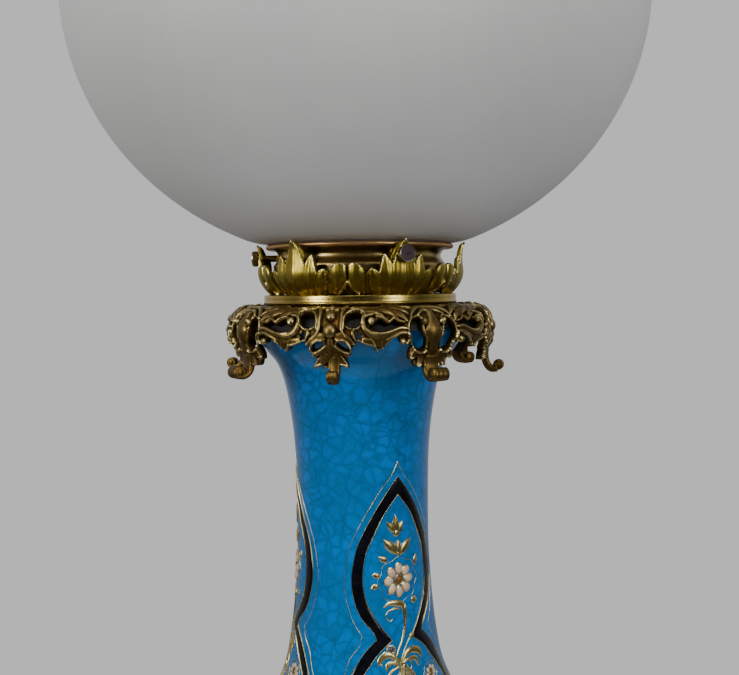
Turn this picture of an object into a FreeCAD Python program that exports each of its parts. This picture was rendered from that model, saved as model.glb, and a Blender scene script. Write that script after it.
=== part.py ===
import FreeCAD, Part
import math
import os

# Oil lamp with a drop-in oil font: a bottle-shaped faience vase in gilt-bronze mounts, a central-draught
# burner with a glass chimney, and a round frosted globe held by three thumbscrews in a leaf cup.
# Millimetres, +Z up. The origin is the centre of the resting plane under the four feet. Azimuths are in
# degrees, 0 towards -Y (the front) and positive towards +X.

# ---- driving heights ----
RING_TOP = 400.0          # top of the plain collar ring: every height above the vase is counted from it
VASE_FOOT = 56.0          # underside of the vase's foot ring
PAD_THICK = 1.5           # felt pad under each foot

# ---- vase ----
VASE_WALL = 5.0
VASE_PROFILE = [          # outer radius and height of the bottle, from the mouth down to the foot
    (48.0, RING_TOP - 12.5), (43.2, RING_TOP - 23.1), (37.2, RING_TOP - 31.4), (33.3, RING_TOP - 44.9),
    (30.4, RING_TOP - 67.8), (29.7, RING_TOP - 100.0), (30.3, RING_TOP - 123.0), (32.8, RING_TOP - 150.7),
    (38.0, RING_TOP - 173.4), (54.0, RING_TOP - 206.0), (70.0, RING_TOP - 235.0), (76.0, RING_TOP - 264.0),
    (71.5, RING_TOP - 295.0), (58.0, RING_TOP - 322.0), (46.0, RING_TOP - 338.0),
]
VASE_FOOT_R = 43.5
VASE_FLOOR = VASE_FOOT + 9.0

# ---- tie rod through the vase's floor and the base ----
ROD_R = 4.0
ROD_HOLE_R = 4.4
NUT_ACROSS = 14.0
NUT_THICK = 6.0
WASHER_R = 13.0
WASHER_THICK = 1.5

# ---- base ----
PLATE_BOTTOM = 40.0       # web of the base casting that the tie rod pulls on
PLATE_TOP = 44.0
SEAT_TOP = VASE_FOOT - 1.0
APRON_WALL = 4.0
FOOT_AZIMUTH = 32.0       # first of four feet, 90 degrees apart
FOOT_COUNT = 4
FOOT_WIDTH = 16.0
FOOT_RADIUS = 70.0
FOOT_NAMES = ("front_right", "back_right", "back_left", "front_left")

# ---- mounts round the vase's mouth ----
RING_R = 42.9
RING_HEIGHT = 4.3
LEDGE_Z = RING_TOP - 4.0  # ledge inside the collar ring that carries the font's flange
LEDGE_BORE_R = 31.0
RING_BORE_R = 37.3
BUSH_TOP = RING_TOP - 7.0
BUSH_FLANGE_R = 46.0
SKIRT_WALL = 3.2
PENDANT_COUNT = 8
PENDANT_AZIMUTH = -13.0   # a fleur pendant; keyhole pendants alternate with them
PENDANT_DRIFT = 2.5       # degrees by which the old casting is out of true, opening it towards front and back
DRIFT_AZIMUTH = 9.5
MOUNT_SCREW_R = 34.2
MOUNT_SCREW_COUNT = 4

# ---- oil font and burner ----
FONT_NECK_R = 30.4
FONT_BODY_R = 23.0
FONT_WALL = 1.0
FONT_BOTTOM = RING_TOP - 172.0
COLLAR_BORE_R = 17.5
COLLAR_R = 20.0
WICK_TUBE_R = 13.1
WICK_R = 12.4
WICK_BORE_R = 10.3
DRAUGHT_R = 10.0
TUBE_WALL = 0.5
TUBE_TOP = RING_TOP + 30.0
BASKET_R = 26.4
DECK_Z = RING_TOP + 14.0
GALLERY_R = 27.3

# ---- wick winder ----
SHAFT_AZIMUTH = 152.0     # direction in which the shaft leaves the burner
SHAFT_OFFSET = 15.0       # distance from the lamp's axis to the shaft's axis
SHAFT_Z = RING_TOP + 6.0
SHAFT_R = 1.3
SHAFT_FIT = 0.05
PINION_R = 3.0
PINION_TEETH = 10
KNOB_R = 5.5
KNOB_START = 44.0

# ---- globe, its holder and the leaf cup ----
GLOBE_R = 125.0
GLOBE_HALF_HEIGHT = 109.3
GLOBE_Z = RING_TOP + 124.5
GLOBE_WALL = 2.4
GLOBE_NECK_R = 34.0
GLOBE_TOP_R = 52.0
HOLDER_LEDGE = RING_TOP + 10.0
THUMBSCREW_Z = RING_TOP + 16.5
THUMBSCREW_AZIMUTH = 24.0
THUMBSCREW_NAMES = ("thumbscrew_front", "thumbscrew_back", "thumbscrew_left")
SCREW_R = 1.5
SCREW_HEAD_R = 3.55
SCREW_HEAD_START = 45.8
SCREW_HEAD_END = 48.9
LEAF_WALL = 1.6
LEAF_CLUSTERS = 6

# ---- chimney ----
CHIMNEY_BASE_R = 26.0
CHIMNEY_WALL = 1.8
CHIMNEY_TOP = RING_TOP + 290.0


def vec(x, y, z):
    return FreeCAD.Vector(x, y, z)


UP = vec(0, 0, 1)
ORIGIN = vec(0, 0, 0)


def turned(*segments):
    """Solid of revolution about Z. A segment of two (radius, height) points is straight, and one of
    three or more is a smooth curve through them; each segment starts where the one before it ends."""
    edges = []
    for segment in segments:
        points = [vec(radius, 0, height) for radius, height in segment]
        if len(points) == 2:
            edges.append(Part.makeLine(points[0], points[1]))
        else:
            curve = Part.BSplineCurve()
            curve.interpolate(points)
            edges.append(curve.toShape())
    first = edges[0].firstVertex().Point
    last = edges[-1].lastVertex().Point
    if first.distanceToPoint(last) > 1e-6:
        edges.append(Part.makeLine(last, first))
    face = Part.Face(Part.Wire(edges))
    return solid_of(face.revolve(ORIGIN, UP, 360))


def turned_polygon(*points):
    """Solid of revolution about Z of a closed straight-sided outline of (radius, height) points."""
    corners = list(points) + [points[0]]
    return turned(*[[corners[i], corners[i + 1]] for i in range(len(points))])


def solid_of(shape):
    """The one solid in a shape, the right way out."""
    solid = Part.makeSolid(shape.Shells[0]) if not shape.Solids else shape.Solids[0]
    if solid.Volume < 0:
        solid.reverse()
    return solid


def offset_profile(points, distance):
    """The points of a smooth (radius, height) curve moved inwards at right angles to it."""
    moved = []
    for i, (radius, height) in enumerate(points):
        before = points[max(i - 1, 0)]
        after = points[min(i + 1, len(points) - 1)]
        step_r, step_z = after[0] - before[0], after[1] - before[1]
        length = math.hypot(step_r, step_z)
        moved.append((radius + distance * step_z / length, height - distance * step_r / length))
    return moved


def tube(outer_r, inner_r, bottom, top):
    outer = Part.makeCylinder(outer_r, top - bottom, vec(0, 0, bottom))
    inner = Part.makeCylinder(inner_r, top - bottom + 2, vec(0, 0, bottom - 1))
    return outer.cut(inner)


def direction(azimuth):
    """Unit vector pointing away from the axis at an azimuth."""
    angle = math.radians(azimuth)
    return vec(math.sin(angle), -math.cos(angle), 0)


def sideways(azimuth):
    """Unit vector square to direction(azimuth), towards growing azimuth."""
    angle = math.radians(azimuth)
    return vec(math.cos(angle), math.sin(angle), 0)


def radial_peg(azimuth, start, end, radius, height, aside=0.0):
    """Cylinder that lies along a radius, moved aside from it when asked."""
    foot = direction(azimuth) * start + sideways(azimuth) * aside + vec(0, 0, height)
    return Part.makeCylinder(radius, end - start, foot, direction(azimuth))


def radial_prism(azimuth, start, end, outline):
    """Prism along a radius. The outline is a list of (aside, height) points."""
    foot = direction(azimuth) * start
    corners = [foot + sideways(azimuth) * aside + vec(0, 0, height) for aside, height in outline]
    face = Part.Face(Part.makePolygon(corners + [corners[0]]))
    return face.extrude(direction(azimuth) * (end - start))


def upright_slab(azimuth, width, outline):
    """Slab that stands in a radial plane. The outline is a list of (radius, height) points."""
    foot = sideways(azimuth) * (-width / 2)
    corners = [foot + direction(azimuth) * radius + vec(0, 0, height) for radius, height in outline]
    face = Part.Face(Part.makePolygon(corners + [corners[0]]))
    return face.extrude(sideways(azimuth) * width)


def cross_bar(azimuth, radius, height, bar_r, width):
    """Round bar that lies square to a radius, such as the curl of a scroll."""
    foot = direction(azimuth) * radius + sideways(azimuth) * (-width / 2) + vec(0, 0, height)
    return Part.makeCylinder(bar_r, width, foot, sideways(azimuth))


def fused(first, others):
    return first.fuse(others).removeSplitter()


def group(solids):
    return Part.makeCompound(solids)


# ---- base ----

def base_casting():
    """Pierced apron with four scroll feet, cast in one with the plate that the tie rod pulls on."""
    apron_outer = [(58.0, PLATE_TOP), (66.5, 40.5), (71.0, 32.0), (71.5, 21.0), (68.5, 12.0)]
    apron_inner = offset_profile(apron_outer, APRON_WALL)
    apron_inner[0] = (56.0, PLATE_BOTTOM)
    apron = turned(apron_outer, [apron_outer[-1], apron_inner[-1]], apron_inner[::-1],
                   [apron_inner[0], (ROD_HOLE_R, PLATE_BOTTOM)],
                   [(ROD_HOLE_R, PLATE_BOTTOM), (ROD_HOLE_R, PLATE_TOP)],
                   [(ROD_HOLE_R, PLATE_TOP), apron_outer[0]])
    cuts = []
    for i in range(FOOT_COUNT):
        between = FOOT_AZIMUTH + 45 + 90 * i
        cuts.append(radial_peg(between, 55, 80, 20.0, 2.0))
        for aside in (-11.0, 11.0):
            cuts.append(radial_peg(between, 50, 80, 3.0, 32.0, aside))
            cuts.append(radial_peg(FOOT_AZIMUTH + 90 * i, 50, 80, 2.6, 31.0, aside))
    feet = []
    for i in range(FOOT_COUNT):
        azimuth = FOOT_AZIMUTH + 90 * i
        leg = [(62.0, 30.0), (70.0, 30.0), (72.0, 14.0), (78.0, 12.0), (78.0, PAD_THICK), (64.0, PAD_THICK),
               (63.0, 12.0)]
        feet.append(upright_slab(azimuth, FOOT_WIDTH, leg))
        feet.append(cross_bar(azimuth, 77.5, PAD_THICK + 6.5, 6.5, FOOT_WIDTH))
    return fused(apron.cut(cuts), feet)


def base_ring():
    """Moulded ring that stands on the casting and cups the vase's foot."""
    return turned([(ROD_HOLE_R, PLATE_TOP), (54.5, PLATE_TOP)],
                  [(54.5, PLATE_TOP), (56.0, 46.0), (54.5, 48.0)],
                  [(54.5, 48.0), (49.5, 50.0), (48.0, 55.0)],
                  [(48.0, 55.0), (49.2, 57.5), (48.5, 60.0)],
                  [(48.5, 60.0), (46.8, 61.0)], [(46.8, 61.0), (46.0, SEAT_TOP)],
                  [(46.0, SEAT_TOP), (33.0, SEAT_TOP)],
                  [(33.0, SEAT_TOP), (33.0, 48.0)], [(33.0, 48.0), (ROD_HOLE_R, 48.0)])


def vase_seat_washer():
    return tube(43.0, 35.0, SEAT_TOP, VASE_FOOT)


def tie_rod():
    return Part.makeCylinder(ROD_R, 52.0, vec(0, 0, PLATE_BOTTOM - 12.0))


def hex_nut(bottom):
    corners = []
    for i in range(7):
        angle = math.radians(60 * i)
        reach = NUT_ACROSS / math.sqrt(3)
        corners.append(vec(reach * math.cos(angle), reach * math.sin(angle), bottom))
    block = Part.Face(Part.makePolygon(corners)).extrude(vec(0, 0, NUT_THICK))
    return block.cut(Part.makeCylinder(ROD_R + 0.02, NUT_THICK + 2, vec(0, 0, bottom - 1)))


def tie_nuts():
    upper = hex_nut(VASE_FLOOR + WASHER_THICK)
    lower = hex_nut(PLATE_BOTTOM - WASHER_THICK - NUT_THICK)
    return group([upper, lower])


def tie_washers():
    upper = tube(WASHER_R, ROD_HOLE_R, VASE_FLOOR, VASE_FLOOR + WASHER_THICK)
    lower = tube(WASHER_R, ROD_HOLE_R, PLATE_BOTTOM - WASHER_THICK, PLATE_BOTTOM)
    return group([upper, lower])


def foot_pad(azimuth):
    centre = direction(azimuth) * FOOT_RADIUS
    return Part.makeCylinder(5.5, PAD_THICK, centre)


# ---- vase ----

def vase_body():
    """Bottle with a long neck and a flared mouth, hollow, with a hole in its floor for the tie rod."""
    inner = offset_profile(VASE_PROFILE, VASE_WALL)
    lip_z = RING_TOP - 9.0
    lip = [(46.3, lip_z), (47.7, RING_TOP - 10.4), VASE_PROFILE[0]]
    foot_in = VASE_FOOT_R - 8.0
    return turned([(42.0, lip_z), lip[0]], lip, VASE_PROFILE,
                  [VASE_PROFILE[-1], (VASE_FOOT_R, VASE_FOOT + 2.5)],
                  [(VASE_FOOT_R, VASE_FOOT + 2.5), (VASE_FOOT_R - 1, VASE_FOOT)],
                  [(VASE_FOOT_R - 1, VASE_FOOT), (foot_in, VASE_FOOT)],
                  [(foot_in, VASE_FOOT), (foot_in - 1, VASE_FOOT + 4)],
                  [(foot_in - 1, VASE_FOOT + 4), (ROD_HOLE_R, VASE_FOOT + 4)],
                  [(ROD_HOLE_R, VASE_FOOT + 4), (ROD_HOLE_R, VASE_FLOOR)],
                  [(ROD_HOLE_R, VASE_FLOOR), (inner[-1][0] - 6, VASE_FLOOR)],
                  [(inner[-1][0] - 6, VASE_FLOOR), inner[-1]], inner[::-1], [inner[0], (42.0, lip_z)])


# ---- mounts round the mouth ----

def mouth_bush():
    """Bush cemented into the vase's mouth. Grooves under its flange let air into the vase."""
    bush = turned_polygon((31.6, BUSH_TOP), (BUSH_FLANGE_R, BUSH_TOP), (BUSH_FLANGE_R, BUSH_TOP - 2.0),
                          (41.5, BUSH_TOP - 2.0), (39.6, BUSH_TOP - 6.5), (31.6, BUSH_TOP - 6.5))
    screw_holes = mount_screw_places(lambda place: Part.makeCylinder(1.2, 8, place + vec(0, 0, -4.5)))
    grooves = []
    for i in range(PENDANT_COUNT):
        azimuth = PENDANT_AZIMUTH + 22.5 + 45 * i
        low, high = BUSH_TOP - 7.5, BUSH_TOP - 0.9
        outline = [(-3.0, low), (3.0, low), (3.0, high), (-3.0, high)]
        grooves.append(radial_prism(azimuth, 38.0, 47.0, outline))
    return bush.cut(screw_holes + grooves)


def mount_screw_places(make):
    """One shape per mounting screw, made from the point where the screw enters the bush."""
    shapes = []
    for i in range(MOUNT_SCREW_COUNT):
        place = direction(FOOT_AZIMUTH + 360 / MOUNT_SCREW_COUNT * i) * MOUNT_SCREW_R + vec(0, 0, BUSH_TOP)
        shapes.append(make(place))
    return shapes


def collar_ring():
    """Plain gilt ring with a bead along its lower edge and a ledge inside for the font."""
    ring = turned([(RING_BORE_R, RING_TOP), (RING_R - 0.4, RING_TOP)],
                  [(RING_R - 0.4, RING_TOP), (RING_R, RING_TOP - 0.4)],
                  [(RING_R, RING_TOP - 0.4), (RING_R, RING_TOP - 2.8)],
                  [(RING_R, RING_TOP - 2.8), (RING_R + 0.4, RING_TOP - 3.4), (RING_R, RING_TOP - 4.0)],
                  [(RING_R, RING_TOP - 4.0), (RING_R - 0.6, RING_TOP - RING_HEIGHT)],
                  [(RING_R - 0.6, RING_TOP - RING_HEIGHT), (41.0, RING_TOP - 4.8)],
                  [(41.0, RING_TOP - 4.8), (41.0, BUSH_TOP)],
                  [(41.0, BUSH_TOP), (LEDGE_BORE_R, BUSH_TOP)],
                  [(LEDGE_BORE_R, BUSH_TOP), (LEDGE_BORE_R, LEDGE_Z)],
                  [(LEDGE_BORE_R, LEDGE_Z), (RING_BORE_R, LEDGE_Z)])
    return ring.cut(mount_screw_places(screw_clearance))


def screw_clearance(place):
    depth = LEDGE_Z - BUSH_TOP
    shank = Part.makeCylinder(1.3, depth + 1, place + vec(0, 0, -0.5))
    return shank.fuse(Part.makeCone(1.3, 2.5, 1.5, place + vec(0, 0, depth - 1.5)))


def mount_screw(place):
    """Countersunk screw whose head is flush with the ledge."""
    depth = LEDGE_Z - BUSH_TOP
    shank = Part.makeCylinder(1.15, depth + 3.0, place + vec(0, 0, -4.0))
    head = Part.makeCone(1.15, 2.2, 1.3, place + vec(0, 0, depth - 1.4))
    return fused(shank, [head])


def mount_screws():
    return group(mount_screw_places(mount_screw))


def skirt_shell():
    """Domed band of the pierced skirt, from the collar ring's cove to its hanging edge."""
    outer = [(46.7, RING_TOP - 3.4), (53.0, RING_TOP - 4.6), (57.6, RING_TOP - 8.4), (60.3, RING_TOP - 12.8),
             (60.6, RING_TOP - 17.5), (59.4, RING_TOP - 22.0)]
    inner = offset_profile(outer, SKIRT_WALL)
    inner[0] = (46.2, BUSH_TOP)
    return turned([(41.2, RING_TOP - 5.0), (42.0, RING_TOP - 5.0)], [(42.0, RING_TOP - 5.0), outer[0]], outer,
                  [outer[-1], inner[-1]], inner[::-1], [inner[0], (41.2, BUSH_TOP)])


def skirt_pendant(azimuth, plate_width, hook_width, curl_r):
    """Hanging hook of the skirt: a plate below the band, and a stem that curls outwards and up."""
    plate = [(55.6, RING_TOP - 20.0), (59.6, RING_TOP - 20.0), (58.0, RING_TOP - 28.0),
             (54.4, RING_TOP - 28.0)]
    stem = [(54.4, RING_TOP - 24.0), (57.8, RING_TOP - 24.0), (58.0, RING_TOP - 29.2),
            (59.9, RING_TOP - 31.9), (62.4, RING_TOP - 31.0), (62.4, RING_TOP - 33.9),
            (60.2, RING_TOP - 34.7), (57.6, RING_TOP - 33.4), (54.8, RING_TOP - 29.9)]
    curl = cross_bar(azimuth, 64.2 - curl_r, RING_TOP - 30.9, curl_r, hook_width)
    return [upright_slab(azimuth, plate_width, plate), upright_slab(azimuth, hook_width, stem), curl]


def keyhole(azimuth, aside, bottom, top, width):
    """Cutter for an upright slot with round ends through the skirt."""
    half = width / 2
    outline = [(aside - half, bottom), (aside + half, bottom), (aside + half, top), (aside - half, top)]
    slot = radial_prism(azimuth, 49, 66, outline)
    ends = [radial_peg(azimuth, 49, 66, half, height, aside) for height in (bottom, top)]
    return slot.fuse(ends)


def drifted(azimuth):
    """Where the skirt's casting really has the feature that belongs at an azimuth."""
    return azimuth - PENDANT_DRIFT * math.sin(math.radians(2 * (azimuth - DRIFT_AZIMUTH)))


def pierced_skirt():
    """Pierced casting that hides the vase's mouth, with eight hooks hanging from it."""
    cuts = []
    pendants = []
    for i in range(PENDANT_COUNT):
        azimuth = drifted(PENDANT_AZIMUTH + 360 / PENDANT_COUNT * i)
        has_keyholes = i % 2 == 1
        for side in (-1, 1):
            if has_keyholes:
                cuts.append(keyhole(azimuth, side * 5.6, RING_TOP - 19.8, RING_TOP - 11.0, 4.0))
            else:
                cuts.append(keyhole(azimuth, side * 6.0, RING_TOP - 20.0, RING_TOP - 18.5, 2.6))
                cuts.append(keyhole(azimuth, side * 9.3, RING_TOP - 11.5, RING_TOP - 10.0, 3.0))
        pendants += skirt_pendant(azimuth, 15.0, 7.6 if has_keyholes else 4.4, 3.3 if has_keyholes else 2.9)
    return fused(skirt_shell().cut(cuts), pendants)


# ---- oil font ----

def oil_font():
    """Brass reservoir that hangs in the neck by its flange. The draught tube passes through its floor."""
    flange_top = LEDGE_Z + 1.3
    under = LEDGE_Z + 0.1
    outside = [(FONT_NECK_R, under), (FONT_NECK_R, RING_TOP - 16), (FONT_BODY_R, RING_TOP - 50),
               (FONT_BODY_R, FONT_BOTTOM)]
    inside = [(DRAUGHT_R + 0.02, FONT_BOTTOM), (DRAUGHT_R + 0.02, FONT_BOTTOM + FONT_WALL),
              (FONT_BODY_R - FONT_WALL, FONT_BOTTOM + FONT_WALL), (FONT_BODY_R - FONT_WALL, RING_TOP - 50),
              (FONT_NECK_R - FONT_WALL, RING_TOP - 16), (FONT_NECK_R - FONT_WALL, under)]
    flange = [(16.0, flange_top), (37.0, flange_top), (37.0, under)]
    return turned_polygon(*flange, *outside, *inside, (16.0, under))


def font_collar():
    """Threaded collar soldered round the opening in the font's top."""
    return tube(COLLAR_R, COLLAR_BORE_R, LEDGE_Z + 1.3, RING_TOP + 1.4)


# ---- burner ----

def burner_base():
    """Threaded plug that screws into the font's collar and carries the basket and the wick tube."""
    return turned_polygon((WICK_TUBE_R + 0.02, LEDGE_Z + 1.4), (COLLAR_BORE_R - 0.1, LEDGE_Z + 1.4),
                          (COLLAR_BORE_R - 0.1, RING_TOP + 1.5), (20.5, RING_TOP + 1.5),
                          (20.5, RING_TOP + 2.5), (WICK_TUBE_R + 0.02, RING_TOP + 2.5))


def air_basket():
    """Perforated bowl that feeds air to the outside of the flame; the winder's shaft turns in its wall."""
    bottom = RING_TOP + 2.5
    bowl = turned([(18.0, bottom), (20.5, bottom)],
                  [(20.5, bottom), (24.6, RING_TOP + 7.0), (BASKET_R, DECK_Z)],
                  [(BASKET_R, DECK_Z), (BASKET_R - 0.9, DECK_Z)],
                  [(BASKET_R - 0.9, DECK_Z), (23.7, RING_TOP + 7.3), (20.1, bottom + 0.9)],
                  [(20.1, bottom + 0.9), (18.0, bottom + 0.9)])
    cuts = [along_shaft(10, 40, SHAFT_R + SHAFT_FIT)]
    for row, height in enumerate((RING_TOP + 6.0, RING_TOP + 10.0)):
        for i in range(18):
            azimuth = 20 * i + 10 * row + 4
            if abs((azimuth - 190 + 180) % 360 - 180) > 14:
                cuts.append(radial_peg(azimuth, 20, 30, 1.3, height))
    return bowl.cut(cuts)


def wick_tube():
    """Outer tube round the wick, slotted where the pinions reach through it."""
    tube_shape = tube(WICK_TUBE_R, WICK_TUBE_R - TUBE_WALL, RING_TOP - 8.0, TUBE_TOP)
    slots = []
    for along in (-4.0, 4.0):
        foot = shaft_point(along - 1.2) + vec(0, 0, -PINION_R - 0.6)
        slots.append(radial_box(foot, 2.4, 5.5, 2 * PINION_R + 1.2))
    return tube_shape.cut(slots)


def radial_box(foot, length, reach, height):
    """Box along the shaft's direction that reaches from the shaft's axis towards the wick."""
    inwards = sideways(SHAFT_AZIMUTH) * (-reach)
    far = foot + direction(SHAFT_AZIMUTH) * length
    corners = [foot, far, far + inwards, foot + inwards, foot]
    return Part.Face(Part.makePolygon(corners)).extrude(vec(0, 0, height))


def draught_tube():
    """Inner tube that brings air up through the font to the middle of the flame."""
    return tube(DRAUGHT_R, DRAUGHT_R - 0.6, FONT_BOTTOM - 4.0, TUBE_TOP - 0.5)


def flame_spreader():
    """Perforated thimble standing in the draught tube, with the disc that spreads the flame."""
    inner_r = DRAUGHT_R - 0.7
    spreader = turned([(inner_r - 0.7, TUBE_TOP - 8), (inner_r, TUBE_TOP - 8)],
                      [(inner_r, TUBE_TOP - 8), (inner_r, TUBE_TOP + 7)],
                      [(inner_r, TUBE_TOP + 7), (12.0, TUBE_TOP + 9)],
                      [(12.0, TUBE_TOP + 9), (12.0, TUBE_TOP + 10)],
                      [(12.0, TUBE_TOP + 10), (6.0, TUBE_TOP + 11.4), (0, TUBE_TOP + 12)],
                      [(0, TUBE_TOP + 12), (0, TUBE_TOP + 10.8)],
                      [(0, TUBE_TOP + 10.8), (inner_r - 0.7, TUBE_TOP + 9)])
    holes = [radial_peg(30 * i, 5, 12, 1.0, TUBE_TOP + 4.0) for i in range(12)]
    return spreader.cut(holes)


def chimney_gallery():
    """Perforated deck on top of the basket, with the sprung fingers that grip the chimney."""
    deck = tube(GALLERY_R, WICK_TUBE_R + 0.05, DECK_Z, DECK_Z + 1.0)
    wall = tube(GALLERY_R, CHIMNEY_BASE_R + 0.3, DECK_Z + 1.0, DECK_Z + 11.0)
    cuts = []
    for i in range(12):
        low, high = DECK_Z + 3, DECK_Z + 12
        cuts.append(radial_prism(30 * i, 24, 29, [(-1.2, low), (1.2, low), (1.2, high), (-1.2, high)]))
        cuts.append(Part.makeCylinder(1.8, 3, direction(30 * i + 15) * 19.5 + vec(0, 0, DECK_Z - 1)))
    return fused(deck, [wall]).cut(cuts)


def wick():
    return tube(WICK_R, WICK_BORE_R, RING_TOP - 150.0, TUBE_TOP + 1.0)


# ---- wick winder ----

def shaft_point(along):
    """Point on the shaft's axis at a distance along it, counted from beside the lamp's axis."""
    return direction(SHAFT_AZIMUTH) * along + sideways(SHAFT_AZIMUTH) * SHAFT_OFFSET + vec(0, 0, SHAFT_Z)


def along_shaft(start, end, radius):
    return Part.makeCylinder(radius, end - start, shaft_point(start), direction(SHAFT_AZIMUTH))


def wick_shaft():
    return along_shaft(-6.5, KNOB_START + 3.0, SHAFT_R)


def pinion(start, thickness):
    """Small toothed wheel that drives the wick."""
    wheel = along_shaft(start, start + thickness, PINION_R)
    wheel = wheel.cut(along_shaft(start - 1, start + thickness + 1, SHAFT_R))
    gap_foot = shaft_point(start - 1) + vec(0, 0, PINION_R)
    gap = Part.makeCylinder(0.45, thickness + 2, gap_foot, direction(SHAFT_AZIMUTH))
    gaps = []
    for i in range(PINION_TEETH):
        one = gap.copy()
        one.rotate(shaft_point(0), direction(SHAFT_AZIMUTH), 360 / PINION_TEETH * i)
        gaps.append(one)
    return wheel.cut(gaps)


def wick_pinions():
    return group([pinion(along - 0.8, 1.6) for along in (-4.0, 4.0)])


def wick_knob():
    """Milled disc on the end of the shaft."""
    knob = along_shaft(KNOB_START, KNOB_START + 3.4, KNOB_R)
    knob = knob.cut(along_shaft(KNOB_START - 1, KNOB_START + 3.0, SHAFT_R))
    groove_foot = shaft_point(KNOB_START - 1) + vec(0, 0, KNOB_R)
    groove = Part.makeCylinder(0.35, 6, groove_foot, direction(SHAFT_AZIMUTH))
    grooves = []
    for i in range(24):
        one = groove.copy()
        one.rotate(shaft_point(0), direction(SHAFT_AZIMUTH), 15 * i)
        grooves.append(one)
    return knob.cut(grooves)


# ---- globe, holder and leaf cup ----

def shaft_slot(top):
    """Cutter for the slot, open below, that lets the leaf cup and the holder lift off over the shaft."""
    passage = along_shaft(20, 43, SHAFT_R + 0.9)
    foot = shaft_point(20) - sideways(SHAFT_AZIMUTH) * (SHAFT_R + 0.9) + vec(0, 0, -12.0)
    span = direction(SHAFT_AZIMUTH) * 23
    width = sideways(SHAFT_AZIMUTH) * (2 * SHAFT_R + 1.8)
    corners = [foot, foot + span, foot + span + width, foot + width, foot]
    below = Part.Face(Part.makePolygon(corners)).extrude(vec(0, 0, 12.0))
    return [passage, below]


def leaf_outline():
    """Upper edge of one cluster of leaves as (aside, height) points, closed along its foot."""
    right_half = [(4.2, 12.6), (8.4, 16.5), (10.4, 9.6), (13.6, 11.0), (16.2, 8.6), (18.5, 12.8),
                  (23.0, 12.8), (23.0, -1.0)]
    centre = [(-4.9, 17.0), (0.0, 22.6), (4.9, 17.0)]
    left_half = [(-aside, height) for aside, height in reversed(right_half)]
    return [(aside, RING_TOP + height) for aside, height in left_half + centre + right_half]


def leaf_cup():
    """Ring of six leaf clusters that stands on the collar ring round the globe's holder."""
    outer = [(38.6, RING_TOP + 0.1), (42.5, RING_TOP + 4.5), (44.6, RING_TOP + 9.0), (44.7, RING_TOP + 14.0),
             (45.4, RING_TOP + 19.0), (47.0, RING_TOP + 22.6)]
    inner = offset_profile(outer, -LEAF_WALL)
    inner[0] = (37.2, RING_TOP + 1.0)
    inner[-1] = (outer[-1][0] - LEAF_WALL, outer[-1][1])
    shell = turned(outer, [outer[-1], inner[-1]], inner[::-1], [inner[0], (33.6, RING_TOP + 1.0)],
                   [(33.6, RING_TOP + 1.0), (33.6, RING_TOP + 0.1)], [(33.6, RING_TOP + 0.1), outer[0]])
    clusters = []
    for i in range(LEAF_CLUSTERS):
        azimuth = THUMBSCREW_AZIMUTH + 360 / LEAF_CLUSTERS * i
        clusters.append(radial_prism(azimuth, 20, 52, leaf_outline()))
    leaves = shell.common(clusters[0].fuse(clusters[1:]))
    holes = [radial_peg(THUMBSCREW_AZIMUTH + 120 * i, 38, 52, 2.4, THUMBSCREW_Z) for i in range(3)]
    return leaves.cut(holes + shaft_slot(RING_TOP)).removeSplitter()


def globe_holder():
    """Turned holder with a rolled lip. The globe's neck stands on its ledge, between the thumbscrews."""
    bottom = RING_TOP + 1.0
    outside = [[(33.6, bottom), (36.4, bottom)],
               [(36.4, bottom), (38.0, RING_TOP + 7.0), (38.6, RING_TOP + 12.6)],
               [(38.6, RING_TOP + 12.6), (36.4, RING_TOP + 16.2), (36.5, RING_TOP + 18.6),
                (39.8, RING_TOP + 20.4)]]
    lip = [[(39.8, RING_TOP + 20.4), (41.6, RING_TOP + 20.3), (42.0, RING_TOP + 21.3),
            (41.2, RING_TOP + 22.2), (39.6, RING_TOP + 21.7)]]
    inside = [[(39.6, RING_TOP + 21.7), (36.4, RING_TOP + 20.0), (34.8, RING_TOP + 17.2),
               (34.6, RING_TOP + 14.0)],
              [(34.6, RING_TOP + 14.0), (34.6, HOLDER_LEDGE)], [(34.6, HOLDER_LEDGE), (30.8, HOLDER_LEDGE)],
              [(30.8, HOLDER_LEDGE), (30.8, HOLDER_LEDGE - 1.4)],
              [(30.8, HOLDER_LEDGE - 1.4), (33.6, HOLDER_LEDGE - 1.4)]]
    ring = turned(*outside, *lip, *inside)
    bosses = [radial_peg(THUMBSCREW_AZIMUTH + 120 * i, 35.4, 40.5, 3.0, THUMBSCREW_Z) for i in range(3)]
    holes = [radial_peg(THUMBSCREW_AZIMUTH + 120 * i, 30, 45, SCREW_R + 0.05, THUMBSCREW_Z) for i in range(3)]
    return fused(ring, bosses).cut(holes + shaft_slot(RING_TOP))


def thumbscrew(azimuth):
    """Thumbscrew with a flat milled head; its point stops just clear of the globe's neck."""
    shank = radial_peg(azimuth, GLOBE_NECK_R + 0.3, SCREW_HEAD_START, SCREW_R, THUMBSCREW_Z)
    head = radial_peg(azimuth, SCREW_HEAD_START, SCREW_HEAD_END, SCREW_HEAD_R, THUMBSCREW_Z)
    grooves = []
    for i in range(20):
        angle = math.radians(18 * i)
        aside = SCREW_HEAD_R * math.cos(angle)
        height = THUMBSCREW_Z + SCREW_HEAD_R * math.sin(angle)
        grooves.append(radial_peg(azimuth, SCREW_HEAD_START - 1, SCREW_HEAD_END + 1, 0.2, height, aside))
    return fused(head.cut(grooves), [shank])


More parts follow.
